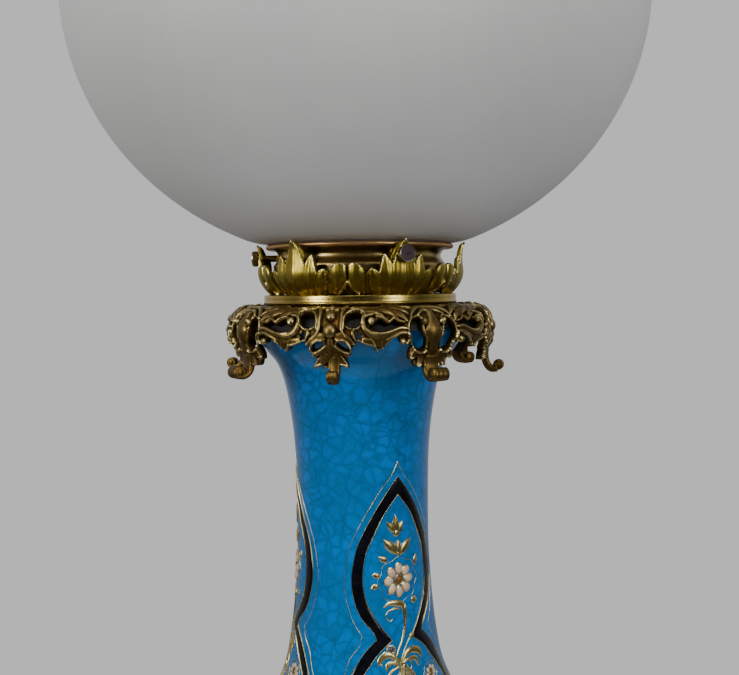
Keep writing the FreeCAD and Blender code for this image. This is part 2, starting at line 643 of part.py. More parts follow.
def globe_arc(shrink, low_r, high_r):
    """Points of the globe's side between two radii, from the bottom round the widest part to the top."""
    wide, half = GLOBE_R - shrink, GLOBE_HALF_HEIGHT - shrink
    start = -math.acos(low_r / wide)
    end = math.acos(high_r / wide)
    steps = 12
    angles = [start + (end - start) * i / steps for i in range(steps + 1)]
    return [(wide * math.cos(a), GLOBE_Z + half * math.sin(a)) for a in angles]


def globe():
    """Round globe, open at the top for the chimney, with a short neck below."""
    neck_bottom = HOLDER_LEDGE + 0.05
    outer = globe_arc(0, 50.0, GLOBE_TOP_R)
    inner = globe_arc(GLOBE_WALL, 48.0, GLOBE_TOP_R)
    neck_in = GLOBE_NECK_R - GLOBE_WALL
    shoulder = [(GLOBE_NECK_R, RING_TOP + 17.0), (35.2, RING_TOP + 20.4), (38.6, RING_TOP + 22.6),
                (44.0, RING_TOP + 23.4), outer[0]]
    throat = [inner[0], (40.0, RING_TOP + 25.4), (34.4, RING_TOP + 23.4), (neck_in, RING_TOP + 18.0)]
    rim = [outer[-1], (GLOBE_TOP_R - 1.2, outer[-1][1] + 0.6), inner[-1]]
    return turned([(neck_in, neck_bottom), (GLOBE_NECK_R, neck_bottom)],
                  [(GLOBE_NECK_R, neck_bottom), shoulder[0]], shoulder, outer, rim, inner[::-1], throat,
                  [throat[-1], (neck_in, neck_bottom)])


def chimney():
    """Glass chimney with a wide foot, a drawn-in shoulder and a tall, slightly tapering stack."""
    foot = DECK_Z + 1.05
    outer = [(CHIMNEY_BASE_R, RING_TOP + 36), (24.6, RING_TOP + 43), (21.6, RING_TOP + 50),
             (20.4, RING_TOP + 60)]
    wall = CHIMNEY_WALL
    inner = [(radius - wall, height) for radius, height in reversed(outer)]
    return turned([(CHIMNEY_BASE_R, foot), outer[0]], outer, [outer[-1], (18.0, CHIMNEY_TOP)],
                  [(18.0, CHIMNEY_TOP), (18.0 - wall, CHIMNEY_TOP)],
                  [(18.0 - wall, CHIMNEY_TOP), inner[0]], inner,
                  [inner[-1], (CHIMNEY_BASE_R - wall, foot)])


def all_parts():
    """Every sub-part by name."""
    parts = {
        "base_casting": base_casting(),
        "base_ring": base_ring(),
        "vase_seat_washer": vase_seat_washer(),
        "tie_rod": tie_rod(),
        "tie_nuts": tie_nuts(),
        "tie_washers": tie_washers(),
        "vase_body": vase_body(),
        "mouth_bush": mouth_bush(),
        "collar_ring": collar_ring(),
        "mount_screws": mount_screws(),
        "pierced_skirt": pierced_skirt(),
        "oil_font": oil_font(),
        "font_collar": font_collar(),
        "burner_base": burner_base(),
        "air_basket": air_basket(),
        "wick_tube": wick_tube(),
        "draught_tube": draught_tube(),
        "flame_spreader": flame_spreader(),
        "chimney_gallery": chimney_gallery(),
        "wick": wick(),
        "wick_shaft": wick_shaft(),
        "wick_pinions": wick_pinions(),
        "wick_knob": wick_knob(),
        "leaf_cup": leaf_cup(),
        "globe_holder": globe_holder(),
        "globe": globe(),
        "chimney": chimney(),
    }
    for i, place in enumerate(FOOT_NAMES):
        parts["foot_pad_" + place] = foot_pad(FOOT_AZIMUTH + 90 * i)
    for i, name in enumerate(THUMBSCREW_NAMES):
        parts[name] = thumbscrew(THUMBSCREW_AZIMUTH + 120 * i)
    return parts


os.makedirs("parts", exist_ok=True)
for node, shape in all_parts().items():
    shape.exportStep("parts/" + node + ".step")
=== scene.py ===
import bpy
from mathutils import Matrix, Vector
import math
import numpy as np


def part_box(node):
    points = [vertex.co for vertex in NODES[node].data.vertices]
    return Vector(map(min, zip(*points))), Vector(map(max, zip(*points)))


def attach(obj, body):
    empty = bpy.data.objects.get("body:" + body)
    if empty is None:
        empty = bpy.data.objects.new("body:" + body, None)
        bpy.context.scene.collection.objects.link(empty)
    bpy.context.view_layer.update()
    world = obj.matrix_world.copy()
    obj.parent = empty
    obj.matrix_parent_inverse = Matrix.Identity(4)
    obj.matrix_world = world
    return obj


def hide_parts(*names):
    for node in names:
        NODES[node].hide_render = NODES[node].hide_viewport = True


# Looks of the oil lamp. Lengths in this script are millimetres and become metres when a mesh is made.
# Azimuths are degrees, 0 towards the front (-Y) and positive towards +X.

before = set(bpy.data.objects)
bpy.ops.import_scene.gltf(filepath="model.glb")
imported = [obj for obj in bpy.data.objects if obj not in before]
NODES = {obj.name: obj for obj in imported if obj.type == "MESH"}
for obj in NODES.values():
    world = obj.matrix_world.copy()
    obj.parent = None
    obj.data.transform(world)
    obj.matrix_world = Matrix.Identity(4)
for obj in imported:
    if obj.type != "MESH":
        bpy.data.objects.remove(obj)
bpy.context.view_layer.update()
MM = 0.001
STAND = "lamp_stand"
GALLERY = "globe_gallery"
RING_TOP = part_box("collar_ring")[1].z / MM
SKIRT_PHASE = -13.0       # azimuth of a fleur pendant; a keyhole pendant follows 45 degrees on
CUP_PHASE = 24.0          # azimuth of a leaf cluster that a thumbscrew passes through
CARTOUCHES = (30.5, 151.0, -86.0)
UP = np.array([0.0, 0.0, 1.0])


def at(points):
    """Heights counted from the collar ring's top become heights in the frame."""
    return [(x, RING_TOP + z) for x, z in points]


# ---------------------------------------------------------------- curves and meshes

def smooth(points, per_span=8, closed=False):
    """Points along a smooth curve through the given points."""
    given = np.array(points, float)
    if closed:
        given = np.vstack([given[-1], given, given[0], given[1]])
    else:
        given = np.vstack([2 * given[0] - given[1], given, 2 * given[-1] - given[-2]])
    steps = np.linspace(0, 1, per_span, endpoint=False)[:, None]
    spans = []
    for a, b, c, d in zip(given, given[1:], given[2:], given[3:]):
        bend, twist = 2 * a - 5 * b + 4 * c - d, 3 * b - a - 3 * c + d
        spans.append((2 * b + (c - a) * steps + bend * steps ** 2 + twist * steps ** 3) / 2)
    if not closed:
        spans.append(given[-2:-1])
    return np.vstack(spans)


def along(path):
    """Distance along a path at each of its points."""
    return np.concatenate([[0.0], np.cumsum(np.linalg.norm(np.diff(path, axis=0), axis=1))])


def resample(path, step):
    distance = along(path)
    places = np.linspace(0, distance[-1], max(int(distance[-1] / step), 2) + 1)
    return np.column_stack([np.interp(places, distance, path[:, i]) for i in range(path.shape[1])])


def directions(path):
    """Unit direction of a path at each of its points."""
    step = np.gradient(path, axis=0)
    return step / np.linalg.norm(step, axis=1, keepdims=True)


def mesh_object(name, points, faces, material, body, replaces=(), normals=None, hollow_shade_and_wear=None):
    """Mesh piece in metres from points in millimetres, riding on a body of the frame."""
    mesh = bpy.data.meshes.new(name)
    mesh.from_pydata((np.asarray(points) * MM).tolist(), [], [list(map(int, f)) for f in faces])
    mesh.materials.append(material)
    mesh.polygons.foreach_set("use_smooth", [True] * len(mesh.polygons))
    if hollow_shade_and_wear is not None:
        layer = mesh.attributes.new("hollow_shade_and_wear", "FLOAT", "POINT")
        layer.data.foreach_set("value", np.asarray(hollow_shade_and_wear, np.float32))
    mesh.update()
    if normals is not None:
        mesh.normals_split_custom_set_from_vertices([tuple(n) for n in normals])
    piece = bpy.data.objects.new(name, mesh)
    bpy.context.scene.collection.objects.link(piece)
    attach(piece, body)
    if replaces:
        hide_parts(*replaces)
    return piece


def sharpen(piece, degrees):
    piece.data.set_sharp_from_angle(angle=math.radians(degrees))
    return piece


def outward(azimuth):
    angle = np.radians(azimuth)
    return np.stack([np.sin(angle), -np.cos(angle), np.zeros_like(angle)], axis=-1)


def aside(azimuth):
    angle = np.radians(azimuth)
    return np.stack([np.cos(angle), np.sin(angle), np.zeros_like(angle)], axis=-1)


def lathe(profile, steps):
    """Points and faces of a turned shape from a closed outline of (radius, height) points."""
    profile = np.array(profile, float)
    angles = np.arange(steps) * 360.0 / steps
    points = outward(angles)[:, None, :] * profile[None, :, :1] + UP * profile[None, :, 1:]
    count = len(profile)
    i, j = np.meshgrid(np.arange(steps), np.arange(count), indexing="ij")
    here, there = i * count, ((i + 1) % steps) * count
    k = (j + 1) % count
    faces = np.stack([here + j, here + k, there + k, there + j], axis=-1).reshape(-1, 4)
    return points.reshape(-1, 3), faces


def outline(first, *segments, level=RING_TOP):
    """Turned outline of (radius, height above level) points. Each segment goes on from the last point,
    straight when it holds one point and in a smooth curve when it holds more."""
    pieces = []
    for segment in segments:
        path = np.array([(radius, level + height) for radius, height in (first, *segment)])
        pieces.append((path if len(path) == 2 else smooth(path))[:-1])
        first = segment[-1]
    return np.vstack(pieces)


def turned_piece(name, profile, material, body, replaces=(), steps=160, degrees=40):
    points, faces = lathe(profile, steps)
    return sharpen(mesh_object(name, points, faces, material, body, replaces), degrees)


def ring_faces(rows, count):
    """Quads between neighbouring rows of points, each row closed into a ring."""
    faces = []
    for i in range(rows - 1):
        for j in range(count):
            k = (j + 1) % count
            faces.append([i * count + j, i * count + k, (i + 1) * count + k, (i + 1) * count + j])
    return faces


def merged(parts):
    """One set of points and faces from several."""
    points, faces, start = [], [], 0
    for part_points, part_faces in parts:
        points.append(np.asarray(part_points, float))
        faces += [[v + start for v in f] for f in part_faces]
        start += len(part_points)
    return np.vstack(points), faces


# ---------------------------------------------------------------- relief castings

class Relief:
    """Height and extent of a pierced casting, drawn on a flat half of one repeat of its pattern.
    x runs across from the pattern's first mirror line, y along the profile. Everything is in millimetres."""

    def __init__(self, width, low, high, step):
        columns, rows = round(width / step) + 1, round((high - low) / step) + 1
        self.x, self.y = np.meshgrid(np.linspace(0, width, columns), np.linspace(low, high, rows))
        self.height = np.zeros_like(self.x)
        self.inside = np.full_like(self.x, 9.0)

    def to_path(self, path):
        """Distance of every place from a path, and how far along the path its nearest point is, 0 to 1."""
        path = np.array(path, float)
        length = along(path)
        nearest = np.full(self.x.shape, 1e9)
        position = np.zeros_like(nearest)
        for start, end, before, after in zip(path, path[1:], length, length[1:]):
            span = end - start
            share = ((self.x - start[0]) * span[0] + (self.y - start[1]) * span[1]) / max(span @ span, 1e-12)
            share = np.clip(share, 0, 1)
            distance = np.hypot(self.x - start[0] - share * span[0], self.y - start[1] - share * span[1])
            closer = distance < nearest
            nearest = np.where(closer, distance, nearest)
            position = np.where(closer, (before + share * (after - before)) / length[-1], position)
        return nearest, position

    def outside_of(self, loop):
        """Signed distance from a closed outline, positive outside it."""
        loop = np.array(loop, float)
        closed = np.vstack([loop, loop[:1]])
        distance = self.to_path(closed)[0]
        within = np.zeros(self.x.shape, bool)
        for (ax, ay), (bx, by) in zip(closed, closed[1:]):
            if ay == by:
                continue
            crosses = (ay > self.y) != (by > self.y)
            within ^= crosses & (self.x < (bx - ax) * (self.y - ay) / (by - ay) + ax)
        return np.where(within, -distance, distance)

    def keep_within(self, loop, rim=0.0):
        distance = -self.outside_of(loop)
        self.inside = np.minimum(self.inside, distance)
        self.height = self.height + rim * np.exp(-((distance - 0.55) / 0.36) ** 2)

    def cut(self, loop, rim=0.0):
        """Pierces the casting, with a raised rim round the opening when asked."""
        distance = self.outside_of(loop)
        self.inside = np.minimum(self.inside, distance)
        if rim:
            self.height = self.height + rim * np.exp(-((distance - 0.55) / 0.42) ** 2)

    def raise_to(self, level, where):
        self.height = np.where(where, np.maximum(self.height, level), self.height)

    def ridge(self, path, half_widths, rise, level=0.0):
        """Round-backed band along a path. half_widths are spread evenly from its start to its end."""
        distance, position = self.to_path(smooth(path, 6))
        half = np.interp(position, np.linspace(0, 1, len(half_widths)), half_widths)
        share = np.clip(1 - (distance / np.maximum(half, 1e-6)) ** 2, 0, 1)
        self.raise_to(level + rise * np.sqrt(share), distance < half)

    def bead(self, x, y, radius, rise):
        distance = np.hypot(self.x - x, self.y - y)
        self.raise_to(rise * np.sqrt(np.clip(1 - (distance / radius) ** 2, 0, 1)), distance < radius)

    def to_spine(self, base, tip, bow):
        """Distance from the bowed middle line of a leaf, and the position along it."""
        base, tip = np.array(base, float), np.array(tip, float)
        span = tip - base
        across = np.array([-span[1], span[0]]) / np.linalg.norm(span)
        return self.to_path(smooth([base, (base + tip) / 2 + across * bow, tip]))

    def leaf(self, base, tip, half_width, level, rise, bow=0.0):
        """Pointed leaf with a middle crease and turned-up edges; bow bends it to one side."""
        distance, position = self.to_spine(base, tip, bow)
        half = half_width * np.sin(np.pi * np.clip(position, 0.0, 1.0) ** 0.62) ** 0.75 + 0.02
        share = distance / half
        shape = level + rise * (1 - 0.55 * share) + 0.18 * np.exp(-((share - 0.86) / 0.12) ** 2)
        crease = -0.22 * np.exp(-(distance / 0.28) ** 2)
        self.raise_to(shape + crease, share < 1)

    def blade(self, base, tip, half_width, level, rise):
        """Roof-shaped leaf blade: flat flanks falling from a middle ridge, with a fine turned-up edge."""
        distance, position = self.to_spine(base, tip, 0.0)
        half = half_width * np.clip((1 - position) / 0.36, 0, 1) ** 0.9 + 0.02
        share = distance / half
        edge = 0.15 * np.exp(-((half - distance - 0.3) / 0.22) ** 2)
        thinning = 0.15 + 0.85 * np.clip((1 - position) / 0.55, 0, 1)
        self.raise_to((level + rise * (1 - share)) * thinning + edge, share < 1)

    def round_edges(self, radius):
        """Rolls the surface over towards every edge of the metal."""
        near = np.clip(radius - self.inside, 0, radius)
        self.height = self.height - (radius - np.sqrt(radius ** 2 - near ** 2))


def blurred(field, reach):
    """Field averaged over a square neighbourhood, wrapping across the columns."""
    total = sum(np.roll(field, shift, axis=1) for shift in range(-reach, reach + 1))
    padded = np.pad(total, ((reach, reach), (0, 0)), mode="edge")
    rows = sum(padded[shift:shift + len(field)] for shift in range(2 * reach + 1))
    return rows / (2 * reach + 1) ** 2


def all_round(half_field, repeats):
    """Full ring of columns from half of one repeat, mirrored and repeated."""
    one = np.hstack([half_field[:, :-1], half_field[:, :0:-1]])
    return np.hstack([one] * repeats)


def clipped_grid(inside):
    """Triangles of a ring-shaped grid, trimmed where inside crosses zero. Returns mixes (two corners
    and a share for every point), triangles with their columns, and trimmed edges with their columns."""
    rows, columns = inside.shape
    number = np.full(inside.size, -1)
    flat = inside.ravel()
    kept = np.flatnonzero(flat > 0)
    number[kept] = np.arange(len(kept))
    mixes = [(k, k, 0.0) for k in kept]
    i, j = np.meshgrid(np.arange(rows - 1), np.arange(columns), indexing="ij")
    a = (i * columns + j).ravel()
    b = (i * columns + (j + 1) % columns).ravel()
    c, d = b + columns, a + columns
    corners = np.vstack([np.column_stack([a, b, c]), np.column_stack([a, c, d])])
    column = np.tile(j.ravel(), 2)
    count = (flat[corners] > 0).sum(axis=1)
    triangles = number[corners[count == 3]].tolist()
    places = column[count == 3].tolist()
    crossings = {}
    edges = []

    def crossing(inner, outer):
        key = (inner, outer)
        if key not in crossings:
            share = flat[inner] / (flat[inner] - flat[outer])
            crossings[key] = len(mixes)
            mixes.append((inner, outer, min(max(share, 0.04), 0.96)))
        return crossings[key]

    partial = (count == 1) | (count == 2)
    for triangle, place in zip(corners[partial].tolist(), column[partial].tolist()):
        while not (flat[triangle[0]] > 0 and flat[triangle[2]] <= 0):
            triangle = triangle[1:] + triangle[:1]
        first, second, third = triangle
        if flat[second] > 0:
            p, q = crossing(second, third), crossing(first, third)
            triangles += [[number[first], number[second], p], [number[first], p, q]]
            places += [place, place]
        else:
            p, q = crossing(first, second), crossing(first, third)
            triangles.append([number[first], p, q])
            places.append(place)
        edges.append((p, q, place))
    return mixes, np.array(triangles), np.array(places), np.array(edges)


def vertex_normals(points, triangles):
    a, b, c = points[triangles[:, 0]], points[triangles[:, 1]], points[triangles[:, 2]]
    face = np.cross(b - a, c - a)
    normals = np.zeros_like(points)
    for corner in range(3):
        np.add.at(normals, triangles[:, corner], face)
    return normals / np.maximum(np.linalg.norm(normals, axis=1, keepdims=True), 1e-12)


def skirting(outer, inner, edges):
    """Side walls between the trimmed edges of an outer and an inner surface, with points of their own."""
    used, renumbered = np.unique(edges[:, :2], return_inverse=True)
    p, q = renumbered.reshape(-1, 2).T
    count = len(used)
    walls = np.vstack([np.column_stack([p, p + count, q + count]), np.column_stack([p, q + count, q])])
    return np.vstack([outer[used], inner[used]]), walls, used


def cast_ring(name, relief, repeats, phase, place, thickness, material, body, replaces, drift=0.0):
    """Turns a relief into a closed ring of metal on a turned profile, split into quarters.
    place maps y to (radius, height, outward radius part, outward height part)."""
    inside = all_round(relief.inside, repeats)
    height = all_round(relief.height, repeats)
    rows, columns = inside.shape
    mixes, triangles, places, edges = clipped_grid(inside)
    first, second, share = (np.array(column) for column in zip(*mixes))
    azimuths = np.tile(np.arange(columns) * 360.0 / columns, rows)
    turn = azimuths[second] - azimuths[first]
    azimuth = azimuths[first] + share * (turn - 360 * np.round(turn / 360)) + phase
    azimuth = azimuth - drift * np.sin(np.radians(2 * (azimuth - TRUE_AZIMUTH)))

    def mixed(field):
        flat = field.ravel()
        return flat[first] * (1 - share) + flat[second] * share

    radius, z, lean_r, lean_z = place(mixed(np.repeat(relief.y[:, :1], columns, axis=1)))
    lift = mixed(height)
    # Hollows of the relief get low values, which the gilt colours dark as dirt and painted shade; raised
    # places get high values.
    hollow_shade_and_wear = mixed(height - blurred(height, 4))

    def shifted(offset):
        flat = outward(azimuth) * (radius + offset * lean_r)[:, None]
        return flat + UP * (z + offset * lean_z)[:, None]

    outer, inner = shifted(lift), shifted(np.minimum(lift - 0.5, -thickness))
    a, b, c = (outer[triangles[:, corner]] for corner in range(3))
    if (np.cross(b - a, c - a) * a)[:, :2].sum() < 0:
        triangles = triangles[:, ::-1]
        edges = edges[:, [1, 0, 2]]
    wall_points, walls, used = skirting(outer, inner, edges)
    half = len(outer)
    points = np.vstack([outer, inner, wall_points])
    faces = np.vstack([triangles, triangles[:, ::-1] + half, walls + 2 * half])
    column = np.concatenate([places, places, edges[:, 2], edges[:, 2]])
    normals = vertex_normals(points, faces)
    # The inner face and the back edges of the walls get low values as well, so they take the dark hollow
    # colour: painted shade.
    hollow_shade_and_wear = np.concatenate([hollow_shade_and_wear, np.full(half, -0.5), hollow_shade_and_wear[used] * 0.5, np.full(len(used), -0.4)])
    for part in range(4):
        low, high = columns * part // 4, columns * (part + 1) // 4
        chosen = faces[(column >= low) & (column < high)]
        kept, renumbered = np.unique(chosen, return_inverse=True)
        mesh_object(f"{name}_{part + 1}", points[kept], renumbered.reshape(-1, 3), material, body,
                    replaces if part == 0 else (), normals=normals[kept], hollow_shade_and_wear=hollow_shade_and_wear[kept])


def profile_map(points, origin=None):
    """Map from y to the place and outward direction on a turned profile through (radius, height) points.
    y is the distance along the profile, origin at its first point, or the height when origin is left out."""
    curve = resample(smooth(points, 12), 0.4)
    distance = curve[:, 1] if origin is None else along(curve) + origin
    step = directions(curve)
    sign = 1.0 if step[:, 1].sum() < 0 else -1.0
    lean_r, lean_z = -sign * step[:, 1], sign * step[:, 0]

    def place(y):
        return tuple(np.interp(y, distance, column) for column in (curve[:, 0], curve[:, 1], lean_r, lean_z))

    return place


# ---------------------------------------------------------------- sweeps

def swept(sections):
    """Points and faces of a solid shape swept through sections, rings of 3-D points of the same count."""
    rows, count = len(sections), len(sections[0])
    ends = [list(range(count))[::-1], [(rows - 1) * count + j for j in range(count)]]
    return np.vstack(sections), ring_faces(rows, count) + ends


def ribbon_hook(azimuth, path, width, thickness):
    """Curled end of a pendant: a flat bar with rounded corners bent along path, (radius, height) points."""
    path = resample(smooth(path, 10), 0.5)
    out, side = outward(azimuth), aside(azimuth)
    position = np.linspace(0, 1, len(path))
    half_w = np.interp(position, *width) / 2
    half_t = np.interp(position, *thickness) / 2
    corners = [(math.cos(a), math.sin(a)) for a in np.radians(np.arange(0, 360, 20) + 10)]
    sections = []
    for (radius, height), (dr, dz), w, t in zip(path, directions(path), half_w, half_t):
        centre = out * radius + UP * height
        normal = UP * dr - out * dz
        row = []
        for across, up in corners:
            aside_part = side * w * math.copysign(abs(across) ** 0.45, across)
            row.append(centre + aside_part + normal * t * math.copysign(abs(up) ** 0.6, up))
        sections.append(np.array(row))
    return swept(sections)


# ---------------------------------------------------------------- pierced skirt

SKIRT_PROFILE = at([
    (42.3, -4.9), (46.2, -4.6), (50.9, -5.0), (54.1, -6.3), (56.6, -8.9), (58.2, -12.2), (58.6, -16.8),
    (57.6, -21.3), (56.3, -25.1), (56.1, -28.5)])
SKIRT_START = -7.7        # where the profile starts, counted along it from the pattern's own zero
HALF_CELL = 46.7          # from a fleur pendant's middle to a keyhole pendant's middle
SKIRT_DRIFT = 2.5         # degrees that the old casting is out of true
TRUE_AZIMUTH = 9.5        # where it is true, and so is each quarter turn from there


def skirt_relief():
    relief = Relief(HALF_CELL, SKIRT_START, 29.3, 0.28)
    relief.height = relief.height - 0.35
    fleur_pendant(relief)
    keyhole_pendant(relief)
    scroll_frieze(relief)
    pierce_skirt(relief)
    relief.keep_within(skirt_edge(), 0.4)
    relief.round_edges(0.55)
    return relief


def skirt_edge():
    return [
        (-5, 31), (2.1, 31), (2.2, 29.0), (3.0, 28.4), (5.0, 27.6), (6.6, 28.2), (8.0, 28.6), (7.6, 26.6),
        (6.4, 24.8), (7.6, 24.3), (8.7, 23.6), (8.9, 21.9), (9.2, 20.6), (10.8, 18.8), (11.4, 17.7),
        (12.2, 17.6), (14.0, 18.6), (16.2, 19.3), (18.5, 19.6), (19.6, 21.6), (20.7, 22.1), (21.8, 20.6),
        (23.1, 21.2), (24.4, 19.4), (25.5, 18.1), (27.5, 16.6), (29.8, 16.0), (30.6, 18.6), (31.7, 19.2),
        (33.6, 19.0), (35.2, 19.4), (36.5, 19.6), (35.7, 21.5), (35.2, 23.7), (35.8, 25.8), (37.2, 25.4),
        (38.0, 27.4), (39.7, 29.3), (41.2, 28.4), (42.8, 28.6), (43.0, 31), (52, 31), (52, -12), (-5, -12)]


def fleur_pendant(relief):
    """Half of the pendant with two beads, a split palmette and a narrow stem."""
    relief.ridge([
        (6.9, 1.0), (5.3, 4.0), (4.9, 9.0), (5.0, 13.0), (6.6, 15.6)], (0.6, 1.0, 1.0, 0.9, 0.5), 1.1)
    relief.bead(0, 2.4, 1.5, 1.2)
    relief.bead(2.1, 3.4, 1.2, 0.9)
    relief.bead(0, 7.3, 2.25, 1.9)
    relief.bead(0, 13.4, 2.9, 2.3)
    relief.ridge([(0, 16.0), (0, 22.0), (0, 29.6)], (1.2, 2.0, 1.6, 2.1), 1.0)
    relief.leaf((2.0, 15.2), (10.9, 18.8), 1.9, 0.1, 0.9, -0.6)
    relief.leaf((0.9, 19.6), (8.8, 23.6), 1.8, 0.1, 0.9, -0.4)
    relief.leaf((0.6, 23.0), (8.0, 28.6), 2.0, 0.1, 0.9, -0.5)
    relief.ridge([(2.2, 16.6), (5.4, 16.3), (8.3, 18.6), (9.0, 21.6)], (0.4, 0.9, 0.8, 0.3), 0.9)


def keyhole_pendant(relief):
    """Half of the pendant with a vase-shaped stem between two keyhole openings."""
    half = np.interp(
        relief.y, [4.5, 8, 11, 13.5, 16, 19, 22, 26, 29], [1.4, 1.8, 3.4, 4.4, 3.6, 2.4, 3.0, 3.6, 3.9])
    share = np.clip((HALF_CELL - relief.x) / half, 0, 1)
    crown = 1.1 + 0.9 * np.exp(-((relief.y - 13.5) / 3.4) ** 2)
    relief.raise_to(crown * np.sqrt(1 - share ** 2) - 0.2, (share < 1) & (relief.y > 5))
    relief.leaf((42.6, 20.4), (35.6, 25.7), 2.2, 0.1, 1.0, 0.8)
    relief.leaf((43.6, 21.6), (39.7, 29.3), 2.2, 0.1, 1.1, 0.4)
    relief.leaf((44.8, 23.0), (43.0, 29.2), 1.4, 0.3, 0.9)
    relief.ridge([(35.9, 8.6), (38.2, 5.0), (42.2, 2.2), (HALF_CELL, 1.6)], (0.4, 1.0, 1.1, 1.2), 0.9)
    relief.ridge([(40.2, 6.9), (43.4, 4.6), (HALF_CELL, 4.9)], (0.5, 0.9, 1.0), 0.8)
    relief.bead(42.2, 10.4, 1.35, 1.9)


def scroll_frieze(relief):
    """Scrolls and leaves between the two pendants."""
    relief.ridge([
        (5.9, 12.6), (5.6, 9.2), (7.0, 6.3), (9.8, 4.5), (12.8, 4.2), (14.9, 5.4), (15.3, 7.3)],
        (0.5, 0.9, 0.9, 0.8, 0.5), 1.1)
    relief.ridge([
        (18.6, 6.8), (15.2, 7.6), (14.3, 10.0), (15.1, 12.8), (17.5, 14.7), (20.6, 15.3), (25.5, 14.6),
        (30.2, 12.9), (33.4, 12.7)], (0.6, 1.0, 1.3, 1.5, 1.4, 1.2, 0.7), 1.2)
    relief.bead(17.8, 9.6, 1.7, 1.9)
    relief.leaf((8.4, 1.6), (20.6, 3.0), 1.4, -0.1, 0.9, -1.0)
    relief.leaf((14.4, 4.9), (24.0, 8.0), 1.8, 0.1, 1.1, -1.3)
    relief.leaf((20.4, 3.2), (30.0, 8.6), 2.0, 0.1, 1.1, -1.2)
    relief.leaf((23.5, 0.8), (35.6, 7.2), 1.9, 0.1, 1.2, -1.5)
    relief.leaf((30.2, 0.0), (38.6, 2.4), 1.4, -0.1, 0.9, -0.8)
    relief.leaf((27.6, 5.4), (34.6, 10.4), 1.5, 0.2, 0.9, -0.9)
    relief.ridge([
        (20.2, 7.6), (22.6, 8.0), (24.6, 9.6), (26.4, 9.8), (28.4, 8.4), (30.6, 9.6), (32.6, 10.2)],
        (0.4, 0.8, 0.8, 0.8, 0.4), 0.9)
    relief.ridge([
        (14.6, 17.2), (18.4, 17.9), (22.6, 17.4), (26.0, 15.9), (30.0, 14.4)], (1.3, 1.9, 2.3, 1.6, 1.0),
        0.55)
    relief.ridge([(17.6, 16.6), (18.9, 18.4), (20.7, 21.4)], (0.5, 0.5, 0.3), 0.5, 0.25)
    relief.ridge([(22.0, 16.0), (22.4, 18.4), (23.0, 20.6)], (0.4, 0.5, 0.3), 0.5, 0.25)
    relief.ridge([
        (24.6, 16.8), (27.6, 15.3), (30.6, 14.4), (33.6, 14.6), (34.6, 16.8), (33.4, 18.4)],
        (0.5, 0.9, 0.9, 0.6), 1.1)
    relief.bead(31.7, 17.7, 1.45, 1.7)
    relief.ridge([(10.4, 12.8), (9.6, 14.4), (10.9, 16.8)], (0.6, 0.8, 0.5), 0.8)


def pierce_skirt(relief):
    eye = [
        (6.7, 9.6), (7.4, 7.4), (9.6, 5.8), (12.2, 5.4), (13.8, 6.5), (13.2, 8.6), (12.6, 11.0), (11.2, 12.0),
        (9.2, 12.1), (7.3, 11.3)]
    crescent = [
        (17.0, 11.9), (19.4, 13.2), (22.1, 13.8), (26, 13.1), (30.5, 11.6), (33.0, 11.1), (31.4, 10.8),
        (29.8, 10.3), (28.2, 9.3), (26.6, 10.3), (25.4, 10.8), (24, 9.8), (22.4, 9.0), (20.8, 8.8),
        (19.9, 10.0), (18.6, 11.4)]
    keyhole = [
        (35.0, 13.0), (35.9, 10.2), (38.0, 8.5), (40.2, 8.1), (41.0, 9.4), (40.9, 11.2), (41.6, 15),
        (42.9, 18), (42.8, 20.5), (41.4, 21.9), (39.4, 21.6), (37.3, 20.2), (35.9, 17.5), (35.0, 15.2)]
    tear = [
        (5.4, 17.5), (3.6, 17.6), (2.7, 18.7), (4.4, 20.0), (6.6, 21.2), (8.1, 21.4), (7.8, 19.8),
        (6.8, 18.3)]
    star = [
        (11.8, 13.4), (12.8, 14.6), (14.0, 14.8), (13.2, 15.8), (13.6, 17.4), (12.2, 16.5), (11.0, 16.6),
        (11.5, 15.0)]
    for loop, rim in ((eye, 0.8), (crescent, 0.45), (keyhole, 0.9), (tear, 0.6), (star, 0.0)):
        relief.cut(smooth(loop, 4, closed=True)[:-1] if len(loop) > 8 else loop, rim)


def skirt_liner(material):
    """Plain sleeve close behind the frieze, which closes the view through its upper openings. Its pewter is
    coloured almost black, as painted shade behind the openings.
    """
    curve = resample(smooth(SKIRT_PROFILE, 12), 0.4)
    step = directions(curve)
    chosen = (along(curve) > 8.0) & (along(curve) < 21.6)
    inward = np.column_stack([step[:, 1], -step[:, 0]])[chosen]
    front = curve[chosen] + inward * 2.9
    profile = np.vstack([front, (front + inward * 0.7)[::-1]])
    turned_piece("skirt_liner", profile, material, STAND, (), degrees=50)


def hooks(material):
    """Curled ends under the eight pendants."""
    narrow = at([(56.0, -23.5), (55.8, -27.0), (56.6, -30.6), (58.6, -32.9), (61.2, -32.9)])
    wide = at([(56.2, -24.0), (55.8, -28.0), (56.8, -31.4), (59.2, -33.2), (61.6, -33.2)])
    for i in range(8):
        azimuth = SKIRT_PHASE + 45 * i
        azimuth -= SKIRT_DRIFT * math.sin(math.radians(2 * (azimuth - TRUE_AZIMUTH)))
        if i % 2:
            shape = ribbon_hook(azimuth, wide, ([0, 1], [7.2, 7.6]), ([0, 0.5, 1], [3.2, 2.8, 2.2]))
            drum = roll(azimuth, 61.5, RING_TOP - 31.5, 2.7, 7.6)
        else:
            azimuth += 1.4
            shape = ribbon_hook(azimuth, narrow, ([0, 1], [4.2, 4.3]), ([0, 0.5, 1], [3.2, 3.2, 3.0]))
            drum = roll(azimuth, 61.8, RING_TOP - 31.2, 2.3, 4.4)
        points, faces = merged([shape, drum])
        mesh_object(f"skirt_hook_{i + 1}", points, faces, material, STAND, hollow_shade_and_wear=np.full(len(points), 0.02))


